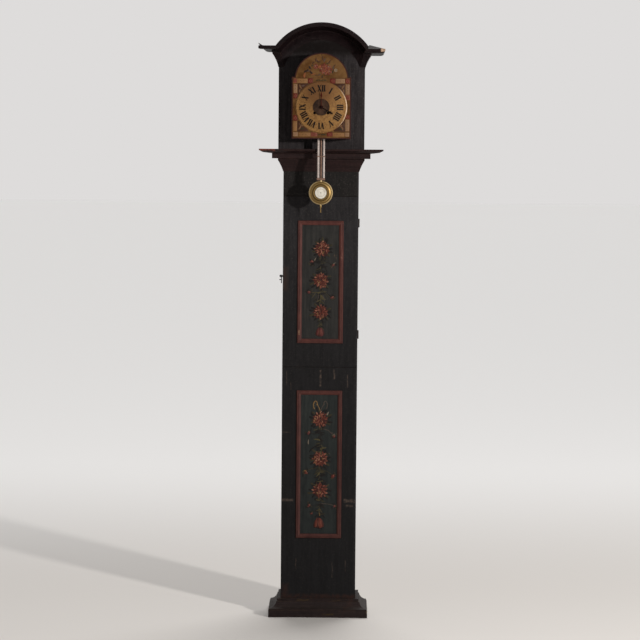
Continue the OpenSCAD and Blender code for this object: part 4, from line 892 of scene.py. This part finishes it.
# Places and sizes are millimetres from the dial's middle: tone, x, z, length, turn
spandrelTouches = (
    ("tan", 76, 72, 20, 30), ("brown", 70, 62, 16, 70), ("tan", 79, 58, 14, -10), ("grey", 66, 76, 14, 100),
    ("tan", 76, -74, 18, 150), ("green", 68, -78, 16, 100), ("brown", 79, -62, 14, 10),
    ("tan", 70, -66, 12, 60))
borderBars = (  # left, right, low, high, tone
    (-88, -50, 86, 102, "gold"), (-49, -31, 85, 103, "square"), (31, 50, 85, 103, "square"),
    (51, 84, 86, 102, "pinkGold"), (-101, -89, 86, 102, "pink"), (86, 101, 85, 103, "rose"),
    (-100, -87, 50, 82, "pinkGold"), (-101, -86, 31, 49, "square"), (87, 101, 46, 82, "pinkGold"),
    (86, 102, 26, 44, "pink"), (-101, -86, -49, -29, "square"), (-100, -87, -86, -51, "gold"),
    (86, 102, -42, -27, "square"), (87, 101, -86, -44, "pinkGold"), (-82, -38, -105, -91, "gold"),
    (-37, -14, -105, -90, "pink"), (21, 41, -105, -90, "square"), (42, 84, -105, -91, "gold"),
    (-101, -84, -105, -90, "pinkGold"), (86, 101, -105, -90, "pinkGold"))
archLeaves = (  # x, z, length, width, turn, tone
    (-57, 128.5, 15, 7, 60, "dark"),
    (-50, 132.5, 10, 5, 20, "dark"), (-43, 141.5, 14, 7, -35, "dark"), (-38.6, 124.5, 15, 7, -40, "dark"),
    (-46, 129.5, 12, 5, 80, "grey"), (-34, 149.5, 9, 5, 30, "green"), (-29.6, 159.5, 12, 6, 60, "brown"),
    (-21, 169.5, 17, 6, 5, "brown"), (-9, 162.5, 14, 6, 80, "brown"), (-16, 165.5, 9, 4, -30, "dark"),
    (3, 176.5, 18, 5, 5, "brown"), (10, 169.5, 16, 6, 25, "grey"), (28, 162.5, 17, 6, 28, "brown"),
    (20, 156.5, 9, 4, -40, "green"), (42, 142.5, 15, 6, 5, "grey"), (47, 150.5, 10, 4, 40, "brown"),
    (40, 127.5, 14, 5, 12, "green"), (-29.6, 118.5, 20, 4, 78, "orange"),
    (-18, 114.5, 14, 3.5, 95, "brown"), (20, 115.5, 26, 3, 86, "brown"), (-8, 116.5, 12, 4, 70, "grey"),
    (2, 109.5, 10, 4, 0, "dark"), (-62, 114.5, 22, 8, 10, "orange"))
archRose = (  # ring, petals, radius, length, width, tones
    (0, 9, 13, 13, 8, ("rose", "pink")), (1, 7, 8, 9, 6, ("pink", "orange")),
    (2, 5, 3.5, 6, 4, ("rose", "pink")))


def paintedBar(p, x0, x1, z0, z1, tone, thick):
    verts = bmesh.ops.create_cube(p.bm, size=1)["verts"]
    place = Matrix.Translation(p.at((x0 + x1) / 2, (z0 + z1) / 2))
    bmesh.ops.transform(p.bm, verts=verts, matrix=place @ Matrix.Diagonal(
        (abs(x1 - x0) * mm, 2 * thick * mm, (z1 - z0) * mm, 1)))
    edges = list({e for v in verts for e in v.link_edges})
    rounded = bmesh.ops.bevel(p.bm, geom=edges, offset=thick * 0.7 * mm, offset_type="OFFSET", segments=2,
                              profile=0.5, affect="EDGES", material=-1)
    p.colourIn(rounded["verts"], tone, 0.06)


def flower(p, centres, reachX, reachZ, count, step, long, wide, shape, tones, start=0, turned=0):
    for i in range(count):
        a = radians(start + step * i)
        for x, z in centres:
            p.stroke(x + reachX * sin(a), z + reachZ * cos(a), long, wide, start + step * i + turned, *shape,
                     tones[i % len(tones)])


def paintDial(tones):
    p = Painting("dial_plate", 21, tones, dialX, dialZ)
    for side in (-1, 1):  # spandrels first, then the border of bars and squares over them
        for z0, z1 in ((42, 84), (-87, -50)):
            paintedBar(p, side * 84, side * 46, z0, z1, "spandrel", 0.2)
        for tone, x, z, long, turn in spandrelTouches:
            p.stroke(side * x, z, long, 6.5, side * turn, 0.3, 0.2, 0.4, 0.1, tone)
    for x0, x1, z0, z1, tone in borderBars:
        paintedBar(p, x0, x1, z0, z1, tone, 0.5)
        x, z, wide, tall = (x0 + x1) / 2, (z0 + z1) / 2, x1 - x0, z1 - z0
        if tone in ("square", "rose", "pink"):  # a lighter flower in each square
            flower(p, ((x, z),), 4, 4, 6, 60, 5.5, 2.6, (0, 0.3, 0.3, 0.5),
                   ("rose" if tone == "pink" else "pink",))
            continue
        count = int(max(tall, wide) / 9)
        for i in range(count):  # darker touches along each bar
            k = (i + 0.5) / count
            px, pz, across = (x, z0 + k * tall, 0) if tall > wide else (x0 + k * wide, z, 90)
            p.stroke(px, pz, 6, 1.3, (35 if i % 2 else -35) + across, 0.2, 0, 0.3, 0.5,
                     "brown" if i % 3 else "orange")
    for side in (-84.5, 84.5):  # fine dark lines that part border and field
        p.line([(side, z) for z in range(-88, 92, 12)], 1.2, "dark", 0.3, 0.1)
    for z, first, last, wide, tone in ((84, -86, 90, 1.2, "dark"), (104.5, -92, 98, 1.4, "brown"),
                                       (-89, -86, 90, 1.2, "dark")):
        p.line([(x, z) for x in range(first, last, 12)], wide, tone, 0.3, 0.1)
    for x, turn in ((-14, 80), (-6, 100), (4, 75), (13, 100)):  # dark leaves over and under the disc
        p.stroke(x, 97, 11, 4, turn, 0.2, -0.2, 0.4, 0.1, "green")
        p.stroke(x, -98, 10, 4.5, turn, 0.2, -0.2, 0.4, 0.1, "green" if x > 0 else "brown")
    for x, z, long, wide, turn, tone in archLeaves:
        p.stroke(x, z, long, wide, turn, 0.2, -0.3, 0.4, 0, tone)
    flower(p, ((-21, 145.5),), 5, 6, 7, 51, 9, 5, (0.1, 0.2, 0.5, 0.1), ("rose", "pink"))  # the left bud
    p.stroke(-24, 148.5, 9, 1.8, -30, 0.3, 0, 0.4, 0.5, "pale")
    p.stroke(-7, 146.5, 16, 9, 60, 0.2, 0.1, 0.4, 0.1, "orange")
    for ring, count, far, long, wide, tones in archRose:  # the full rose, twice for its two lobes
        flower(p, ((9, 137.5), (20, 133.5)), far, far, count, 360 / count, long, wide,
               (0.1, 0.25, 0.5, 0.1 + 0.15 * ring), tones, 20 * ring)
    flower(p, ((14, 135.5),), 15, 13, 9, 40, 9, 1.5, (-0.3, 0, 0.4, 0.7), ("orange", "pale"), turned=90)
    flower(p, ((51, 132.5),), 4, 4, 6, 60, 6, 3.4, (0, 0.2, 0.4, 0.1), ("pale",))  # the one on the right
    p.stroke(51, 132.5, 3, 3, 0, 0, 0, 0.4, 0.4, "grey")
    finishPiece("dialOrnament", p.settle(), "hood", flowerMaterial)


paintDial(dial)

numerals = {
    "words": ("XII", "I", "II", "III", "IIII", "V", "VI", "VII", "VIII", "IX", "X", "XI"),
    "inner": 0.0565, "outer": 0.0782, "stem": 0.005, "hair": 0.002, "serif": 0.0017, "thick": 0.0005,
    "pitch": 0.0071, "widths": {"I": 1, "V": 2.1, "X": 2.2},  # a sign's width in pitches
    "feet": {"V": 0.0022, "X": 0.002},                        # half a serif on a slanting stroke
    "marks": ((15, 0.062, 0.0018), (0, 0.0825, 0.0012)),      # degrees on, radius and size
    "ink": srgb(8, 5, 4), "worn": srgb(52, 36, 20),
}


def makeNumerals(v):
    bm = bmesh.new()
    dome = surfaceOf("chapter_disc")
    low, high, stem, hair, serif = (v[key] for key in ("inner", "outer", "stem", "hair", "serif"))

    def bar(angle, u0, v0, u1, v1, wide):  # a straight bar in the figure's own u and v, bent onto the dome
        verts = bmesh.ops.create_grid(bm, x_segments=1, y_segments=5, size=0.5)["verts"]
        long, lean = hypot(u1 - u0, v1 - v0), atan2(u1 - u0, v1 - v0)
        faces = list({f for q in verts for f in q.link_faces})
        lifted = bmesh.ops.extrude_face_region(bm, geom=faces)["geom"]
        top = [g for g in lifted if isinstance(g, bmesh.types.BMVert)]
        for group, off in ((verts, 0.0002), (top, -v["thick"])):
            for q in group:
                a, b = q.co.x * wide, q.co.y * long
                u = (u0 + u1) / 2 + a * cos(lean) + b * sin(lean)
                w = (v0 + v1) / 2 - a * sin(lean) + b * cos(lean)
                x = dialX + u * cos(angle) + w * sin(angle)
                z = dialZ - u * sin(angle) + w * cos(angle)
                q.co = Vector((x, frontAt(dome, x, z) + off, z))

    def cross(angle, u, level, half, wide):
        bar(angle, u - half, level, u + half, level, wide)

    for hour, word in enumerate(v["words"]):
        angle = radians(30 * hour)
        widths = [v["pitch"] * v["widths"][sign] for sign in word]
        u = -sum(widths) / 2
        for sign, width in zip(word, widths):
            mid = u + width / 2
            if sign == "I":
                bar(angle, mid, low, mid, high, stem)
                for end in (low, high):
                    cross(angle, mid, end, width * 0.46, serif)
            elif sign == "V":
                bar(angle, mid, low, mid - width * 0.32, high, stem)
                bar(angle, mid, low, mid + width * 0.32, high, hair)
                for side in (-1, 1):
                    cross(angle, mid + side * width * 0.32, high, v["feet"]["V"], serif)
            else:
                bar(angle, mid + width * 0.3, low, mid - width * 0.3, high, stem)
                bar(angle, mid - width * 0.3, low, mid + width * 0.3, high, hair)
                for side in (-1, 1):
                    for end in (low, high):
                        cross(angle, mid + side * width * 0.3, end, v["feet"]["X"], serif)
            u += width
        for on, far, size in v["marks"]:  # the half hour and the hour
            cross(angle + radians(on), 0, far, size / 2, size)
    material, tree, surface = newMaterial("numeralPaint")
    worn = spread(noise(objectCoords(tree), 260, 5, 0.7), 0.5, 0.72)
    feed(surface, {"Base Color": lay(v["ink"], worn, 0.3, v["worn"]),
                   "Roughness": 0.5, "Specular IOR Level": 0.1})
    finishPiece("numerals", bm, "hood", material, True)


makeNumerals(numerals)
print("dial painted")

nails = {
    "radius": 0.0022, "rise": 0.0009,
    "board": ((0.12, 0.3, 0.5, 0.7, 0.88), (-0.127, 0.127)),  # heights and sides of the lower front board
    "rail": ((-0.127, 1.585), (-0.127, 1.635), (0.127, 1.585), (0.127, 1.635)),
    "plinth": ((-0.12, 0.013), (-0.02, 0.013), (0.1, 0.013)),
    "hood": ((-0.145, 1.77), (0.145, 1.78), (-0.146, 1.9), (0.145, 1.91), (0.112, 1.988), (-0.118, 1.99),
             (-0.135, 1.955), (0.138, 1.96)),
}


def makeNails(v):
    def heads(bm, surface, places):
        for x, z in places:
            verts = bmesh.ops.create_cone(bm, cap_ends=True, segments=12, radius1=v["radius"],
                                          radius2=v["radius"] * 0.55, depth=v["rise"] * 2)["verts"]
            place = Matrix.Translation((x, frontAt(surface, x, z), z))
            bmesh.ops.transform(bm, verts=verts, matrix=place @ Matrix.Rotation(radians(90), 4, "X"))

    rng = random.Random(3)
    bm = bmesh.new()
    rows, sides = v["board"]
    heads(bm, surfaceOf("lower_front_board"), [
        (x + rng.uniform(-0.002, 0.002), z + rng.uniform(-0.01, 0.01)) for z in rows for x in sides])
    heads(bm, surfaceOf("top_rail"), v["rail"])
    heads(bm, surfaceOf("plinth_moulding"), v["plinth"])
    finishPiece("caseNails", bm, "case", aged["forgedIron"])
    bm = bmesh.new()
    heads(bm, surfaceOf("hood_front_board"), v["hood"])
    finishPiece("hoodNails", bm, "hood", aged["forgedIron"])


makeNails(nails)
